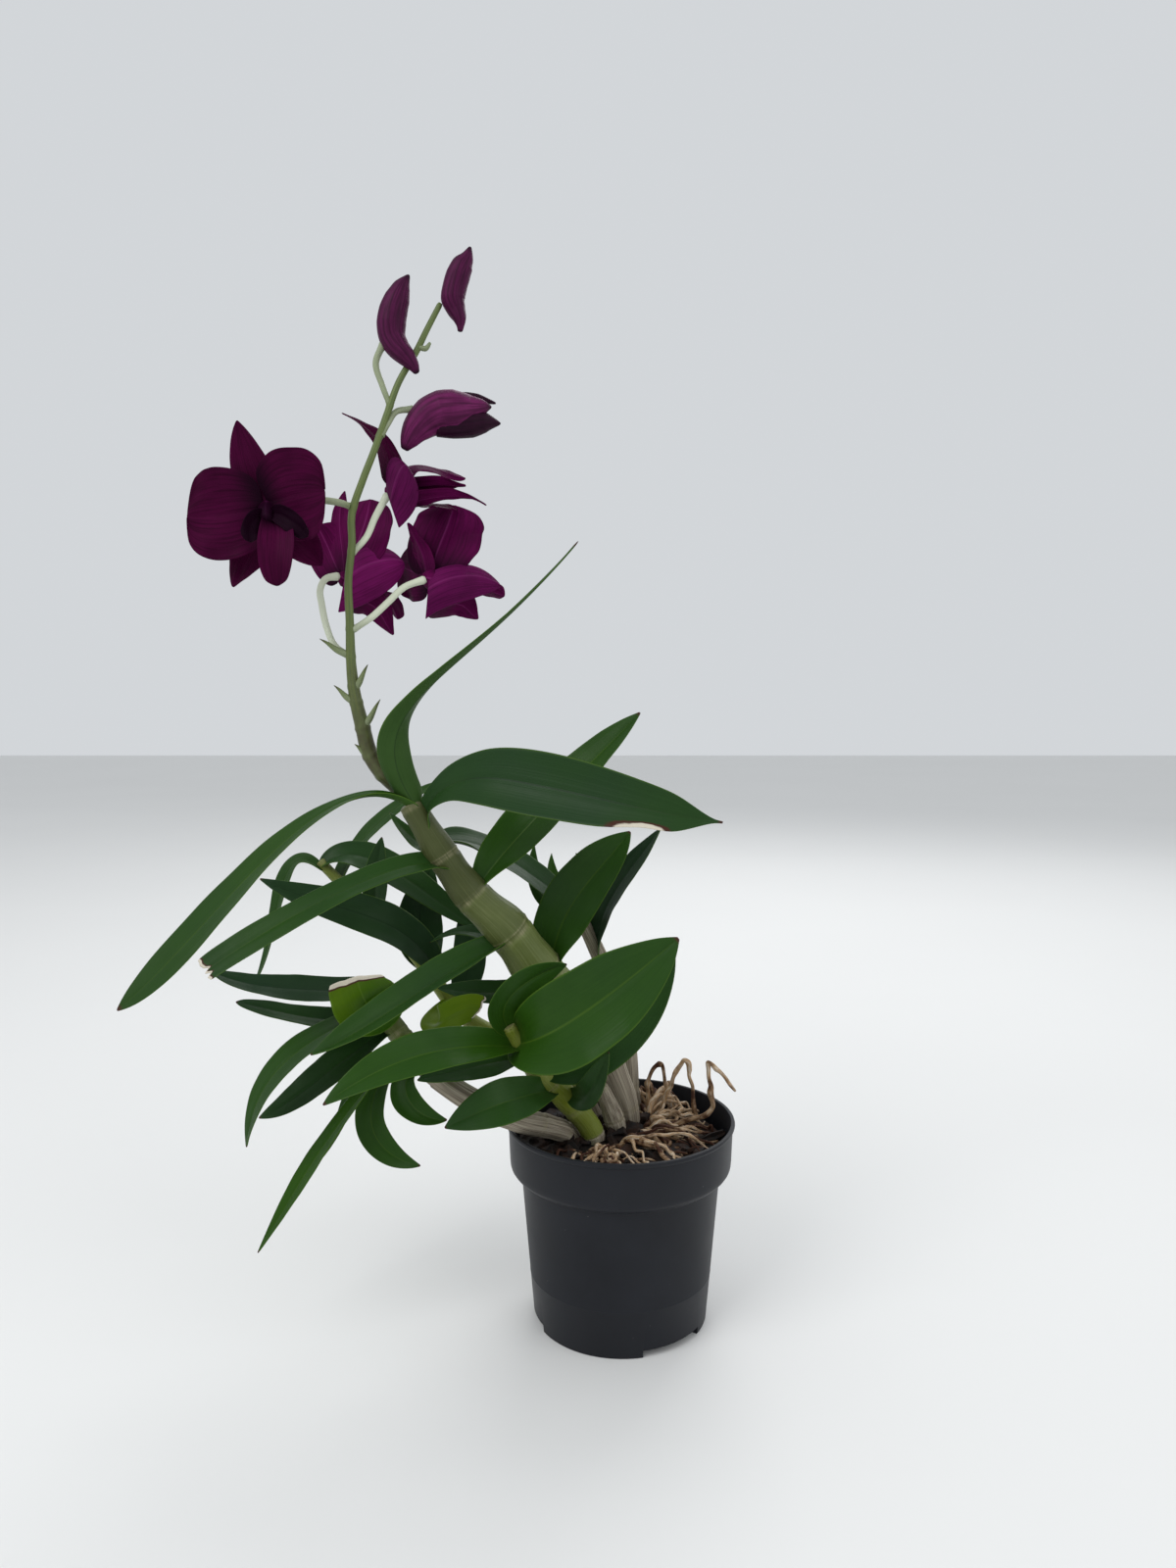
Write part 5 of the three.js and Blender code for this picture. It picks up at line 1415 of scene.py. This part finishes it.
class ORCHID_OT_leaves(Operator):
    """Builds the leaves with their channelled ribs, waved margins and scars"""

    bl_idname = "orchid.leaves"
    bl_label = "Leaves"

    def execute(self, context):
        settings = context.scene.orchid_leaf
        upper = leaf_finish("leaf upper side", settings, face=True)
        lower = leaf_finish("leaf underside", settings, face=False)
        for seed, (name, shape) in enumerate(LEAVES.items()):
            place = blade_place(shape, leaf_detail(shape, seed * 1.7))
            paint = {"tone": same(shape.tone), "scar": leaf_scar(shape)}
            piece = sheet(f"{name}_blade", LEAF_COLUMNS, LEAF_ROWS, place, paint)
            piece.data.materials.append(upper)
            piece.data.materials.append(lower)
            thicken(piece, settings.rib_thickness)
            finished(piece, name)
        return {"FINISHED"}


# ---- Flower spike ----

SPIKE = [
    (-98, -9, 246, 3.9), (-105.5, -12, 254, 3.8), (-110.5, -12.5, 262, 3.5), (-113.2, -13, 273, 3.2),
    (-116.2, -13, 286, 2.7), (-117.8, -12.5, 300, 2.2), (-118.2, -12, 318, 1.8), (-118.5, -12, 336, 1.65),
    (-116.7, -12, 352, 1.6), (-116.5, -11.5, 365, 1.6), (-111.8, -11, 379, 1.55), (-106.7, -10, 392, 1.5),
    (-101.2, -8, 408, 1.5), (-96.5, -6.5, 421, 1.4), (-88.6, -5, 435, 1.4), (-84.5, -5, 443, 1.3),
    (-78.4, -4, 454.8, 1.2),
]
# Each flower stalk leaves the spike at its first point and ends behind its bloom or bud.
STALKS = {
    "bloom_left": [
        (-117, -12, 368, 1.3), (-122, -12, 369.6, 1.5), (-134, -14, 370.5, 1.5), (-147, -20, 368, 1.6),
    ],
    "bloom_rear": [
        (-119, -12, 304, 1.3), (-125.7, -9, 309, 1.4), (-130.3, -4, 317.6, 1.5), (-132.8, -1, 327.4, 1.5),
        (-133.7, 0.5, 333.5, 1.5), (-131.5, 2.5, 338.6, 1.5), (-126, 5, 340, 1.6),
    ],
    "bloom_right": [
        (-117.5, -12, 315, 1.3), (-109.3, -9, 321, 1.5), (-103.1, -3, 327.9, 1.5), (-96.4, 1, 334.8, 1.5),
        (-87.5, 4, 338.5, 1.6),
    ],
    "bloom_upper": [
        (-117, -11.5, 348, 1.3), (-111.3, -7, 355.7, 1.4), (-108.1, -3, 364.7, 1.5), (-103, 0, 375, 1.6),
    ],
    "bud_half_open": [
        (-104, -9, 398, 1.3), (-101, -7.4, 404, 1.3), (-98, -4, 409.5, 1.3), (-91, 0, 411.5, 1.5),
    ],
    "bud_middle": [
        (-100, -7.5, 411, 1.2), (-103.5, -7, 420, 1.3), (-106, -7, 429, 1.4), (-102.5, -7, 437.5, 1.5),
    ],
}
# Each bract runs from the spike to its sharp tip.
BRACTS = [
    ((-110, -13, 260.5), (-116.5, -15, 266)),
    ((-112.5, -13.5, 273.5), (-104.8, -16, 285.5)),
    ((-116.5, -13, 284), (-125, -15, 291.5)),
    ((-116.5, -13, 289.5), (-110, -15.5, 300.5)),
    ((-119, -12, 304.5), (-131, -14, 311.5)),
]
GREEN_STALKS = {"bloom_left", "bud_half_open", "bud_middle"}  # the others are nearly white
GREEN_STALK_PALENESS = 0.35
TIP_NUB = [(-88.3, -5, 436.5, 1.1), (-84.8, -5.5, 435.6, 1.2), (-82.6, -6, 438, 0.6)]
SPIKE_NODES = [253, 261, 273, 284, 291, 304, 316, 349, 368, 398, 411]  # heights of its nodes
# The spike's surface: reach and height of the ring at a node, number and height of the ribs low on it,
# and the heights between which they fade.
SPIKE_RELIEF = SimpleNamespace(ring_reach=1.6, ring=0.1, ribs=9, rib=0.03, fade=(280, 320))


def spike_swell(curve):
    """Rings at the nodes of the spike and ribs low on it."""

    def swell(t, angle):
        height = curve(t).z
        ring = max(hump(height, node, SPIKE_RELIEF.ring_reach) for node in SPIKE_NODES)
        faded = 1 - ease(height, *SPIKE_RELIEF.fade)
        ribs = SPIKE_RELIEF.rib * math.sin(SPIKE_RELIEF.ribs * angle) * faded
        return 1 + SPIKE_RELIEF.ring * ring + ribs

    return swell


def stalk_swell(t, angle):
    """A flower stalk flares at both its ends."""
    return 1 + 0.25 * hump(t, 0, 0.12) + 0.2 * hump(t, 1, 0.15)


def stalk_finish(settings):
    finish = Finish("flower stalk", Specular_IOR_Level=0.3)
    pale = finish.reading("pale")
    streak = finish.noise(finish.around(10, 16), detail=3.0)
    blotch = finish.noise(finish.place(), scale=160.0, detail=3.0)
    green = finish.blend(finish.span(streak, 0.35, 0.7), settings.stalk, settings.streak)
    body = finish.blend(finish.span(pale, 0.0, 1.0), green, settings.pale_stalk)
    brown = finish.times(finish.reading("husk"), finish.span(blotch, 0.3, 0.6, 0.4, 0.9))
    finish.colour(finish.blend(brown, body, settings.husk))
    finish.roughness(finish.span(blotch, 0.3, 0.7, 0.38, 0.55))
    finish.bump(streak, 0.12, 0.7)
    return finish.material


def bract(foot, point):
    """A sharp scale: a cone that sags a little and has a dark tip."""
    a, b = Vector(foot), Vector(point)
    middle = a.lerp(b, 0.4) + Vector((0, 0, -0.6))
    guides = [(*a, 1.7), (*middle, 1.4), (*a.lerp(b, 0.75), 0.7), (*b, 0.12)]
    paint = {"pale": lambda t, angle: 0.25 * (1 - t), "husk": lambda t, angle: ease(t, 0.55, 0.95)}
    return tube("bract", guides, 12, 18, None, paint)


class ORCHID_OT_spike(Operator):
    """Builds the flower spike with its bracts and flower stalks"""

    bl_idname = "orchid.spike"
    bl_label = "Flower Spike"

    def execute(self, context):
        settings = context.scene.orchid_flower
        curve = spline(SPIKE)
        paint = {
            "pale": same(0.05),
            "husk": lambda t, angle: 1 - ease(curve(t).z, 265, 325),
        }
        parts = [tube("rachis", SPIKE, 24, 220, spike_swell(curve), paint)]
        for name, guides in STALKS.items():
            paleness = GREEN_STALK_PALENESS if name in GREEN_STALKS else 1
            paint = {
                "pale": lambda t, angle: mix(0.5, 1, ease(t, 0, 0.3)) * paleness,
                "husk": same(0.0),
            }
            parts.append(tube("stalk", guides, 16, 40, stalk_swell, paint))
        for foot, point in BRACTS:
            parts.append(bract(foot, point))
        parts.append(tube("tip_nub", TIP_NUB, 12, 16, None, {"pale": same(0.2), "husk": same(0.0)}))
        spike = joined("flower_spike_grown", parts)
        spike.data.materials.append(stalk_finish(settings))
        finished(spike, "flower_spike")
        return {"FINISHED"}


# ---- Blooms ----

# Outlines of the sepals, petals and lips, given as those of leaves are.
SEPAL = SimpleNamespace(neck=0.55, rise=0.45, fall=0.75, end=1)
PETAL = SimpleNamespace(neck=0.35, rise=0.55, fall=0.38, end=1)
LIP_LOBE = SimpleNamespace(neck=0.4, rise=0.6, fall=0.4, end=1)
# A hood: the share of its edges that it takes, how far along its swelling it begins, and its keel and
# folds, with sizes as shares of its bulge.
HOOD = SimpleNamespace(end=0.985, foot=0.2, keel_at=0.62, keel=0.14, keel_width=0.045, folds=0.1)
# Ruffles of a petal as shares of its waves, and unevenness of its width.
RUFFLE = SimpleNamespace(frill=0.35, swell=0.6, width=0.03)
WIDE_PETAL = 9  # half width above which a petal has a finer grid
PETAL_GRID = (12, 24)
WIDE_PETAL_GRID = (20, 30)
# Painted shade deep in the bloom: how much of the throat's colour is at the foot of a lobe in the throat,
# a petal or lip, and a sepal.
THROAT_SHADE = SimpleNamespace(lobe=0.9, petal=0.85, sepal=0.5)
PETAL_EDGE = 0.6  # thickness at the margin, as a share of that at the middle


def tepal(half, form, faces, rib, cup=(0.5, 0.2), wave=0.6, dark=False):
    """A petal, sepal or lobe, given as a leaf is, with the height of its waves; dark paints a throat lobe
    all in shade.
    """
    return SimpleNamespace(
        half=half, form=form, faces=faces, rib=rib, cup=cup, crease=0.0, wave=wave, dark=dark
    )


# Each bloom: its heart, a bar of [x, y, z, radius] guides from the stalk to the lip's foot; its petals,
# sepals and lip lobes; and its hoods, the side sepals that close round the chin, each between an upper
# and a lower edge and swollen by bulge. dusk is painted shade: how far each bloom's hoods are darkened
# towards the throat's near black.
BLOOMS = {
    "bloom_left": SimpleNamespace(
        heart=[(-149, -19, 367, 2), (-149, -24, 364.5, 4.4), (-148, -30, 361.5, 4), (-147, -34, 359, 2.4)],
        blades=[
            tepal(
                7.6, SEPAL, faces=[(0.2, -0.97, -0.1), (0.2, -0.97, -0.1)],
                rib=[(-150.5, -26, 367), (-154, -27, 378), (-157, -28, 388.5), (-159.3, -30, 400)],
            ),
            tepal(
                18.5, PETAL, faces=[(-0.1, -0.95, -0.1), (-0.25, -0.95, 0)], wave=1.0,
                rib=[(-150, -26, 365.7), (-160, -31, 362.8), (-170.4, -33, 361), (-179.7, -34, 360.8)],
            ),
            tepal(
                18.7, PETAL, faces=[(0.1, -0.95, -0.1), (0.45, -0.85, -0.1)], wave=1.0,
                rib=[(-149, -26, 367.3), (-140.5, -30, 369), (-132.5, -30, 370.8), (-124.5, -26, 372)],
            ),
            tepal(
                8.5, SEPAL, faces=[(-0.2, -0.95, 0.2), (-0.2, -0.95, 0.1)],
                rib=[(-150.5, -24, 361), (-155.3, -23, 351.7), (-159.7, -24, 342.1), (-163.5, -28, 332.4)],
            ),
            tepal(
                8, SEPAL, faces=[(0.3, -0.9, 0.2), (0.2, -0.95, 0.1)],
                rib=[(-146.5, -23, 361), (-139.5, -20, 354), (-133.5, -19, 348), (-128, -20, 342)],
            ),
            tepal(
                7.4, LIP_LOBE, faces=[(0.1, -0.5, 0.85), (0.1, -0.98, 0.1)], cup=(1.2, 0.5),
                rib=[(-146.5, -30, 360), (-142, -38, 353.5), (-141.4, -42, 344), (-141.3, -41, 331.7)],
            ),
            tepal(
                4.5, LIP_LOBE, faces=[(-0.8, -0.5, 0.2), (-0.5, -0.8, 0.2)], cup=(0.8, 0.5), dark=True,
                rib=[(-146, -30, 362.5), (-139.5, -36, 360.5), (-133.7, -38, 356.5), (-129.3, -38, 351.8)],
            ),
            tepal(
                4.5, LIP_LOBE, faces=[(0.9, -0.4, 0.2), (0.6, -0.8, 0.2)], cup=(0.8, 0.5), dark=True,
                rib=[(-149, -31, 361.5), (-151, -37, 358.5), (-152, -41, 354), (-151, -43, 349)],
            ),
        ],
        painted_hood_shade=0.3, hoods=[],
    ),
    "bloom_rear": SimpleNamespace(
        heart=[(-126, 5, 340.5, 2), (-124, 7, 339, 3.8), (-120, 11, 336.5, 3.6), (-117, 14, 334.5, 2)],
        blades=[
            tepal(
                5.8, SEPAL, faces=[(0.3, 0.95, 0), (0.2, 0.97, -0.1)],
                rib=[(-124.2, 7, 340), (-126.1, 12, 354.6), (-127.4, 15, 366.3), (-125.4, 17, 379.3)],
            ),
            tepal(
                14, PETAL, faces=[(0.4, 0.9, 0), (0.4, 0.9, -0.1)], wave=1.0,
                rib=[(-123.3, 7, 341), (-119.3, 10, 352.7), (-115.5, 12, 363.4), (-112.9, 13, 374.9)],
            ),
            tepal(
                11, PETAL, faces=[(0.2, 0.95, -0.1), (0.1, 0.97, -0.2)], wave=1.0,
                rib=[(-125.2, 7, 339.5), (-129.8, 12, 347.4), (-133.5, 14, 355.2), (-137.6, 14, 363.5)],
            ),
            tepal(
                7, SEPAL, faces=[(0.2, 0.8, 0.5), (0.1, 0.9, 0.3)],
                rib=[(-124, 7, 329), (-114.1, 14, 328.4), (-109.4, 17, 323.3), (-104.5, 18, 314.4)],
            ),
            tepal(
                7, LIP_LOBE, faces=[(0.3, 0.3, 0.9), (0.6, 0.7, 0.3)], cup=(1, 0.4),
                rib=[(-119.4, 12, 335.4), (-113, 20, 333), (-107, 25, 329), (-104, 28, 322)],
            ),
        ],
        painted_hood_shade=0.05, hoods=[
            SimpleNamespace(
                upper=[(-123, 5.5, 342), (-117.6, 7, 351.4), (-107.8, 11, 353.6), (-98.2, 14, 346.5)],
                lower=[(-127, 5, 323.9), (-116.3, 7, 327.1), (-103.7, 11, 335.3), (-98.2, 14, 346.5)],
                bulge=(1.2, -5.2, 0.8),
            ),
        ],
    ),
    "bloom_right": SimpleNamespace(
        heart=[(-88.3, 4.6, 339.5, 2), (-86, 7, 339, 4.6), (-82, 11, 338, 3.6), (-78, 14, 337.5, 2)],
        blades=[
            tepal(
                4.6, SEPAL, faces=[(0.7, 0.7, 0), (0.7, 0.7, 0.1)],
                rib=[(-86.8, 7, 340), (-88.9, 10, 349.3), (-92.2, 12, 356.5), (-96.5, 13, 364.5)],
            ),
            tepal(
                18, PETAL, faces=[(0.3, 0.95, 0), (0.3, 0.9, -0.3)], wave=1.0,
                rib=[(-85.4, 8, 341), (-82, 13, 354), (-78.5, 16, 364), (-75.5, 18, 373)],
            ),
            tepal(
                14, PETAL, faces=[(0.6, 0.7, 0.1), (0.7, 0.65, 0)], wave=1.0,
                rib=[(-87.2, 8, 339.5), (-93.4, 15, 342.5), (-98.3, 21, 344.9), (-102.7, 26, 347.6)],
            ),
            tepal(
                6.5, SEPAL, faces=[(0.2, 0.8, 0.5), (0.1, 0.9, 0.3)],
                rib=[(-86.6, 6, 325), (-75.1, 16, 328.6), (-69.9, 18, 326), (-65.5, 19, 321.8)],
            ),
            tepal(
                6.5, LIP_LOBE, faces=[(0.2, 0.3, 0.9), (0.5, 0.7, 0.4)], cup=(1, 0.4),
                rib=[(-80, 13, 338), (-72, 18, 337.5), (-63, 21, 336), (-53.5, 22, 332.4)],
            ),
        ],
        painted_hood_shade=0.38, hoods=[
            SimpleNamespace(
                upper=[(-86.2, 6, 341.6), (-79.1, 7, 344.5), (-67.1, 10, 345.2), (-54.1, 12, 336)],
                lower=[(-87.8, 4, 320.6), (-77.4, 6, 326.6), (-65.4, 9, 330.7), (-54.1, 12, 336)],
                bulge=(1, -5, 0.5),
            ),
        ],
    ),
    "bloom_upper": SimpleNamespace(
        heart=[(-103.5, -0.5, 376, 2), (-101.5, 1, 376.5, 3.6), (-97, 3, 377, 3.6), (-92, 4, 377.5, 2)],
        blades=[
            tepal(
                5.5, SPEAR, faces=[(0.7, -0.7, 0.3), (0.5, -0.55, 0.6)],
                rib=[(-101, 1, 378), (-103, 3, 392), (-110.4, 4, 403), (-123.4, 4, 410.8)],
            ),
            tepal(
                6.2, SEPAL, faces=[(0.1, 0.3, -0.9), (0.1, 0.5, -0.85)],
                rib=[(-100, 4, 379), (-92, 9, 388.5), (-81, 12, 387), (-70, 12, 383.8)],
            ),
            tepal(
                4.2, SEPAL, faces=[(0.1, 0.6, 0.8), (0.1, 0.6, 0.8)],
                rib=[(-99, 3, 377), (-86, 2, 379.5), (-77, 1, 379.5), (-68.8, 2, 379)],
            ),
            tepal(
                5, SPEAR, faces=[(0, 0.4, 0.9), (0.1, 0.3, 0.9)],
                rib=[(-98, 1, 370.5), (-84, -2, 373.5), (-71, -2, 374.3), (-59.7, 0, 370.1)],
            ),
            tepal(
                6, SEPAL, faces=[(0.2, -0.4, 0.9), (0, -0.3, 0.95)],
                rib=[(-98, 4, 374), (-91, 10, 372), (-83, 13, 372), (-74, 13, 370)],
            ),
        ],
        painted_hood_shade=0.5, hoods=[
            SimpleNamespace(
                upper=[(-103.4, -1, 377), (-102.6, -4, 385.4), (-99.5, -5, 390), (-93, -6, 385.7)],
                lower=[(-98, -2, 360), (-90.9, -4, 367.3), (-88.5, -6, 375.4), (-93, -6, 385.7)],
                bulge=(0, -4, 0.5),
            ),
        ],
    ),
}


def petal_detail(wave, seed):
    """Soft waves over a petal and ripples at its margin."""

    def detail(s, v):
        def lift(width):
            edge = wave * math.sin(11 * v + 2 * s) * s * s * ease(v, 0.2, 0.6)
            frill = RUFFLE.frill * wave * math.sin(31 * v + 5 * s + seed) * s**4 * ease(v, 0.3, 0.8)
            swell = RUFFLE.swell * wave * ripple(2.2 * s, 2.6 * v, seed)
            return edge + frill + swell * ease(v, 0, 0.3)

        return lift, 1 + RUFFLE.width * ripple(4 * v, seed, 1 if s > 0 else -1), v

    return detail


def hood_place(shape, seed):
    """The surface of a hood, with a raised keel and soft folds along it."""
    top, bottom = rib_through(shape.upper), rib_through(shape.lower)
    bulge = Vector(shape.bulge)

    def place(u, v):
        t = v * HOOD.end
        spot = bottom(t).lerp(top(t), u)
        swelling = math.sin(math.pi * u) * math.sin(math.pi * mix(HOOD.foot, 1, v))
        keel = HOOD.keel * math.exp(-(((u - HOOD.keel_at) / HOOD.keel_width) ** 2)) * ease(v, 0, 0.2)
        folds = HOOD.folds * ripple(7 * u, 2.5 * v, seed) * math.sin(math.pi * u)
        return spot + bulge * (swelling + keel + folds)

    return place


def petal_finish(name, settings, body, outside, keel_at=0.5):
    """A velvety petal surface with fine veins, with painted shade towards the heart of the bloom."""
    finish = Finish(name, Specular_IOR_Level=0.04)
    u, v = finish.parts(finish.uv())
    fan = finish.vector(finish.times(u, 34.0), finish.times(v, 1.6))
    veins = finish.noise(fan, detail=2.0)
    cloud = finish.noise(finish.place(), scale=60.0, detail=3.0)
    deep = shaded(body, 0.5)
    warm = shaded(body, 1.5)
    base = finish.blend(finish.span(cloud, 0.35, 0.7), body, warm)
    base = finish.blend(finish.span(veins, 0.45, 0.68, 0, 0.7), base, deep)
    if outside:
        edge = finish.math("ABSOLUTE", finish.math("SUBTRACT", u, keel_at))
        keel = finish.span(edge, 0.0, 0.035, 0.4, 0.0)
        base = finish.blend(keel, base, settings.keel)
    # Painted shade: the heart attribute darkens the surface towards the throat colour.
    painted_shade = finish.span(finish.reading("heart"), 0.0, 1.0)
    finish.colour(finish.blend(painted_shade, base, settings.throat))
    finish.roughness(finish.span(cloud, 0.3, 0.7, 0.48, 0.62))
    finish.bump(veins, 0.16, 0.8)
    finish.bump(finish.noise(finish.place(), scale=1400.0, detail=2.0), 0.02, 0.6)
    return finish.material


def petal_sheet(shape, seed):
    """One tepal; its heart attribute is how much painted shade, in the throat's colour, it has."""
    grid = WIDE_PETAL_GRID if shape.half > WIDE_PETAL else PETAL_GRID
    place = blade_place(shape, petal_detail(shape.wave, seed))
    sepal = shape.wave < 1 and shape.form is not LIP_LOBE
    share = THROAT_SHADE.sepal if sepal else THROAT_SHADE.petal

    def heart(u, v):
        return THROAT_SHADE.lobe if shape.dark else share * (1 - ease(v, 0.02, 0.42))

    return sheet("tepal", *grid, place, {"heart": heart})


class ORCHID_OT_blooms(Operator):
    """Builds the open blooms with their sepals, petals, lips and hearts"""

    bl_idname = "orchid.blooms"
    bl_label = "Blooms"

    def execute(self, context):
        settings = context.scene.orchid_flower
        face = petal_finish("petal face", settings, settings.petal, outside=False)
        back = petal_finish("petal outer side", settings, settings.outside, outside=True)
        violet = petal_finish("side sepal outer side", settings, settings.violet, True, HOOD.keel_at)
        for seed, (name, bloom) in enumerate(BLOOMS.items()):
            # The heart bar is painted with shade towards the lip's foot.
            paint = {"heart": lambda t, angle: THROAT_SHADE.lobe * ease(t, 0.1, 0.5)}
            heart = tube("heart", bloom.heart, 20, 20, None, paint)
            heart.data.materials.append(back)
            parts = [heart]
            for i, shape in enumerate(bloom.blades):
                part = petal_sheet(shape, seed * 13 + i)
                part.data.materials.append(face)
                part.data.materials.append(back)
                thicken(part, settings.petal_thickness, PETAL_EDGE)
                parts.append(part)
            for i, shape in enumerate(bloom.hoods):
                place = hood_place(shape, seed * 7 + i)
                # Painted shade: the hoods are darkened towards the throat colour by the bloom's own amount.
                part = sheet("hood", 20, 28, place, {"heart": same(bloom.painted_hood_shade)})
                part.data.materials.append(face)
                part.data.materials.append(violet)
                thicken(part, settings.petal_thickness, PETAL_EDGE)
                parts.append(part)
            finished(joined(f"{name}_grown", parts), name)
        return {"FINISHED"}


# ---- Buds ----

# A bud: one boot-shaped bar of closed sepals, from its chin to its tip, and any petals that show past
# it, each a list of [x, y, z, radius].
BUDS = {
    "bud_half_open": [
        [
            (-95.5, 0, 394.2, 1.6), (-93.4, 0, 398, 4.1), (-90, 0, 403, 6.4), (-84.5, 1, 408, 8.6),
            (-79, 2, 410.3, 9.6), (-73, 2, 411, 9.2), (-66.5, 3, 412, 6.6), (-61, 3, 413, 3.4),
            (-57.5, 4, 413.4, 0.5),
        ],
        [
            (-82, 1, 406, 6), (-74, 2, 405.6, 6.2), (-66, 3, 406, 6), (-60, 3.5, 406.6, 4.4),
            (-53.5, 4, 406.2, 0.5),
        ],
        [(-76, 3, 414, 4), (-71, 4, 417, 2.6), (-64, 6, 417.4, 2.2), (-55.8, 7, 415.6, 0.5)],
    ],
    "bud_middle": [
        [
            (-88.2, -8, 424.7, 1.2), (-90, -8, 428, 2.8), (-93, -8, 431.6, 4.2),
            (-96.5, -7.5, 435.6, 5.2), (-98.8, -7, 440, 5.8), (-99.1, -7, 445.5, 6.3),
            (-98.1, -7, 451, 6.1), (-96.3, -7, 456, 5.4), (-94.2, -7, 461, 3.6), (-91.3, -7, 465.6, 0.6),
        ],
    ],
    "bud_top": [
        [
            (-70, -5, 442.8, 1), (-69.8, -5, 445, 1.6), (-70.2, -5, 448.4, 3), (-71.8, -4, 452.5, 4.2),
            (-73, -4, 456.8, 5.2), (-72.2, -4, 461.5, 5.2), (-70.7, -4, 466.4, 5.2),
            (-68.7, -4, 470.8, 4.6), (-66.9, -4, 473.8, 3), (-65.3, -4, 478.2, 0.6),
        ],
    ],
}


# The seams between a bud's sepals, round it in radians: their middles, reach and depth, and their twist.
SEAM = SimpleNamespace(middles=(1.2, 3.3, 5.4), reach=0.16, depth=0.06, twist=0.5)


def bud_swell(seed):
    """Seams where the closed sepals meet, and a slight twist."""

    def swell(t, angle):
        turned = (angle + SEAM.twist * t) % (2 * math.pi)
        seam = sum(hump(turned, middle, SEAM.reach) for middle in SEAM.middles)
        lumps = 0.03 * ripple(2 * math.cos(angle), 2 * math.sin(angle), seed)
        return 1 - SEAM.depth * seam * math.sin(math.pi * t) + lumps

    return swell


def bud_tip(closed):
    """How dark a bud is: brown most at its chin and its tip, and a closed bud also darkened between them by
    painted shade.
    """
    closed_bud_shade = 0.4 if closed else 0.0
    return lambda t, angle: max(0.8 * ease(t, 0.86, 1), 0.8 - 0.8 * ease(t, 0, 0.08), closed_bud_shade)


def bud_finish(settings):
    finish = Finish("bud", Specular_IOR_Level=0.08)
    streak = finish.noise(finish.around(16, 2.5), detail=3.0)
    cloud = finish.noise(finish.place(), scale=110.0, detail=3.0)
    deep = shaded(settings.bud, 0.45)
    warm = shaded(settings.bud, 1.5)
    base = finish.blend(finish.span(cloud, 0.35, 0.7), settings.bud, warm)
    base = finish.blend(finish.span(streak, 0.42, 0.66, 0, 0.85), base, deep)
    finish.colour(finish.blend(finish.reading("tip"), base, settings.bud_tip))
    finish.roughness(finish.span(cloud, 0.3, 0.7, 0.42, 0.55))
    finish.bump(streak, 0.25, 0.8)
    return finish.material


class ORCHID_OT_buds(Operator):
    """Builds the closed and half open buds"""

    bl_idname = "orchid.buds"
    bl_label = "Buds"

    def execute(self, context):
        material = bud_finish(context.scene.orchid_flower)
        for seed, (name, bud) in enumerate(BUDS.items()):
            paint = {"tip": bud_tip(closed=len(bud) == 1)}
            parts = [tube("body", bud[0], 36, 90, bud_swell(seed), paint)]
            # The petals that show from a half open bud are painted with shade, nearly to the tip's colour.
            parts += [tube("petal", guides, 24, 30, None, {"tip": same(0.85)}) for guides in bud[1:]]
            piece = joined(f"{name}_grown", parts)
            piece.data.materials.append(material)
            finished(piece, name)
        return {"FINISHED"}


# ---- Add-on ----

OPERATORS = (
    ORCHID_OT_stage,
    ORCHID_OT_pot,
    ORCHID_OT_bark,
    ORCHID_OT_roots,
    ORCHID_OT_canes,
    ORCHID_OT_leaves,
    ORCHID_OT_spike,
    ORCHID_OT_blooms,
    ORCHID_OT_buds,
)
SETTINGS = {
    "orchid_pot": OrchidPotSettings,
    "orchid_bark": OrchidBarkSettings,
    "orchid_cane": OrchidCaneSettings,
    "orchid_leaf": OrchidLeafSettings,
    "orchid_flower": OrchidFlowerSettings,
    "orchid_stage": OrchidStageSettings,
}


class VIEW3D_PT_orchid(Panel):
    """Lists the orchid's pieces and their settings"""

    bl_label = "Orchid"
    bl_idname = "VIEW3D_PT_orchid"
    bl_space_type = "VIEW_3D"
    bl_region_type = "UI"
    bl_category = "Orchid"

    def draw(self, context):
        for operator in OPERATORS:
            self.layout.operator(operator.bl_idname)
        for label in SETTINGS:
            box = self.layout.box()
            group = getattr(context.scene, label)
            for key in group.bl_rna.properties.keys():
                if key not in {"rna_type", "name"}:
                    box.prop(group, key)


def register():
    for group in SETTINGS.values():
        bpy.utils.register_class(group)
    for label, group in SETTINGS.items():
        setattr(bpy.types.Scene, label, PointerProperty(type=group))
    for operator in OPERATORS:
        bpy.utils.register_class(operator)
    bpy.utils.register_class(VIEW3D_PT_orchid)


def unregister():
    bpy.utils.unregister_class(VIEW3D_PT_orchid)
    for operator in reversed(OPERATORS):
        bpy.utils.unregister_class(operator)
    for label, group in SETTINGS.items():
        delattr(bpy.types.Scene, label)
        bpy.utils.unregister_class(group)


def main():
    register()
    bpy.ops.orchid.stage()
    bpy.ops.orchid.pot()
    bpy.ops.orchid.bark()
    bpy.ops.orchid.roots()
    bpy.ops.orchid.canes()
    bpy.ops.orchid.leaves()
    bpy.ops.orchid.spike()
    bpy.ops.orchid.blooms()
    bpy.ops.orchid.buds()


if __name__ == "__main__":
    main()
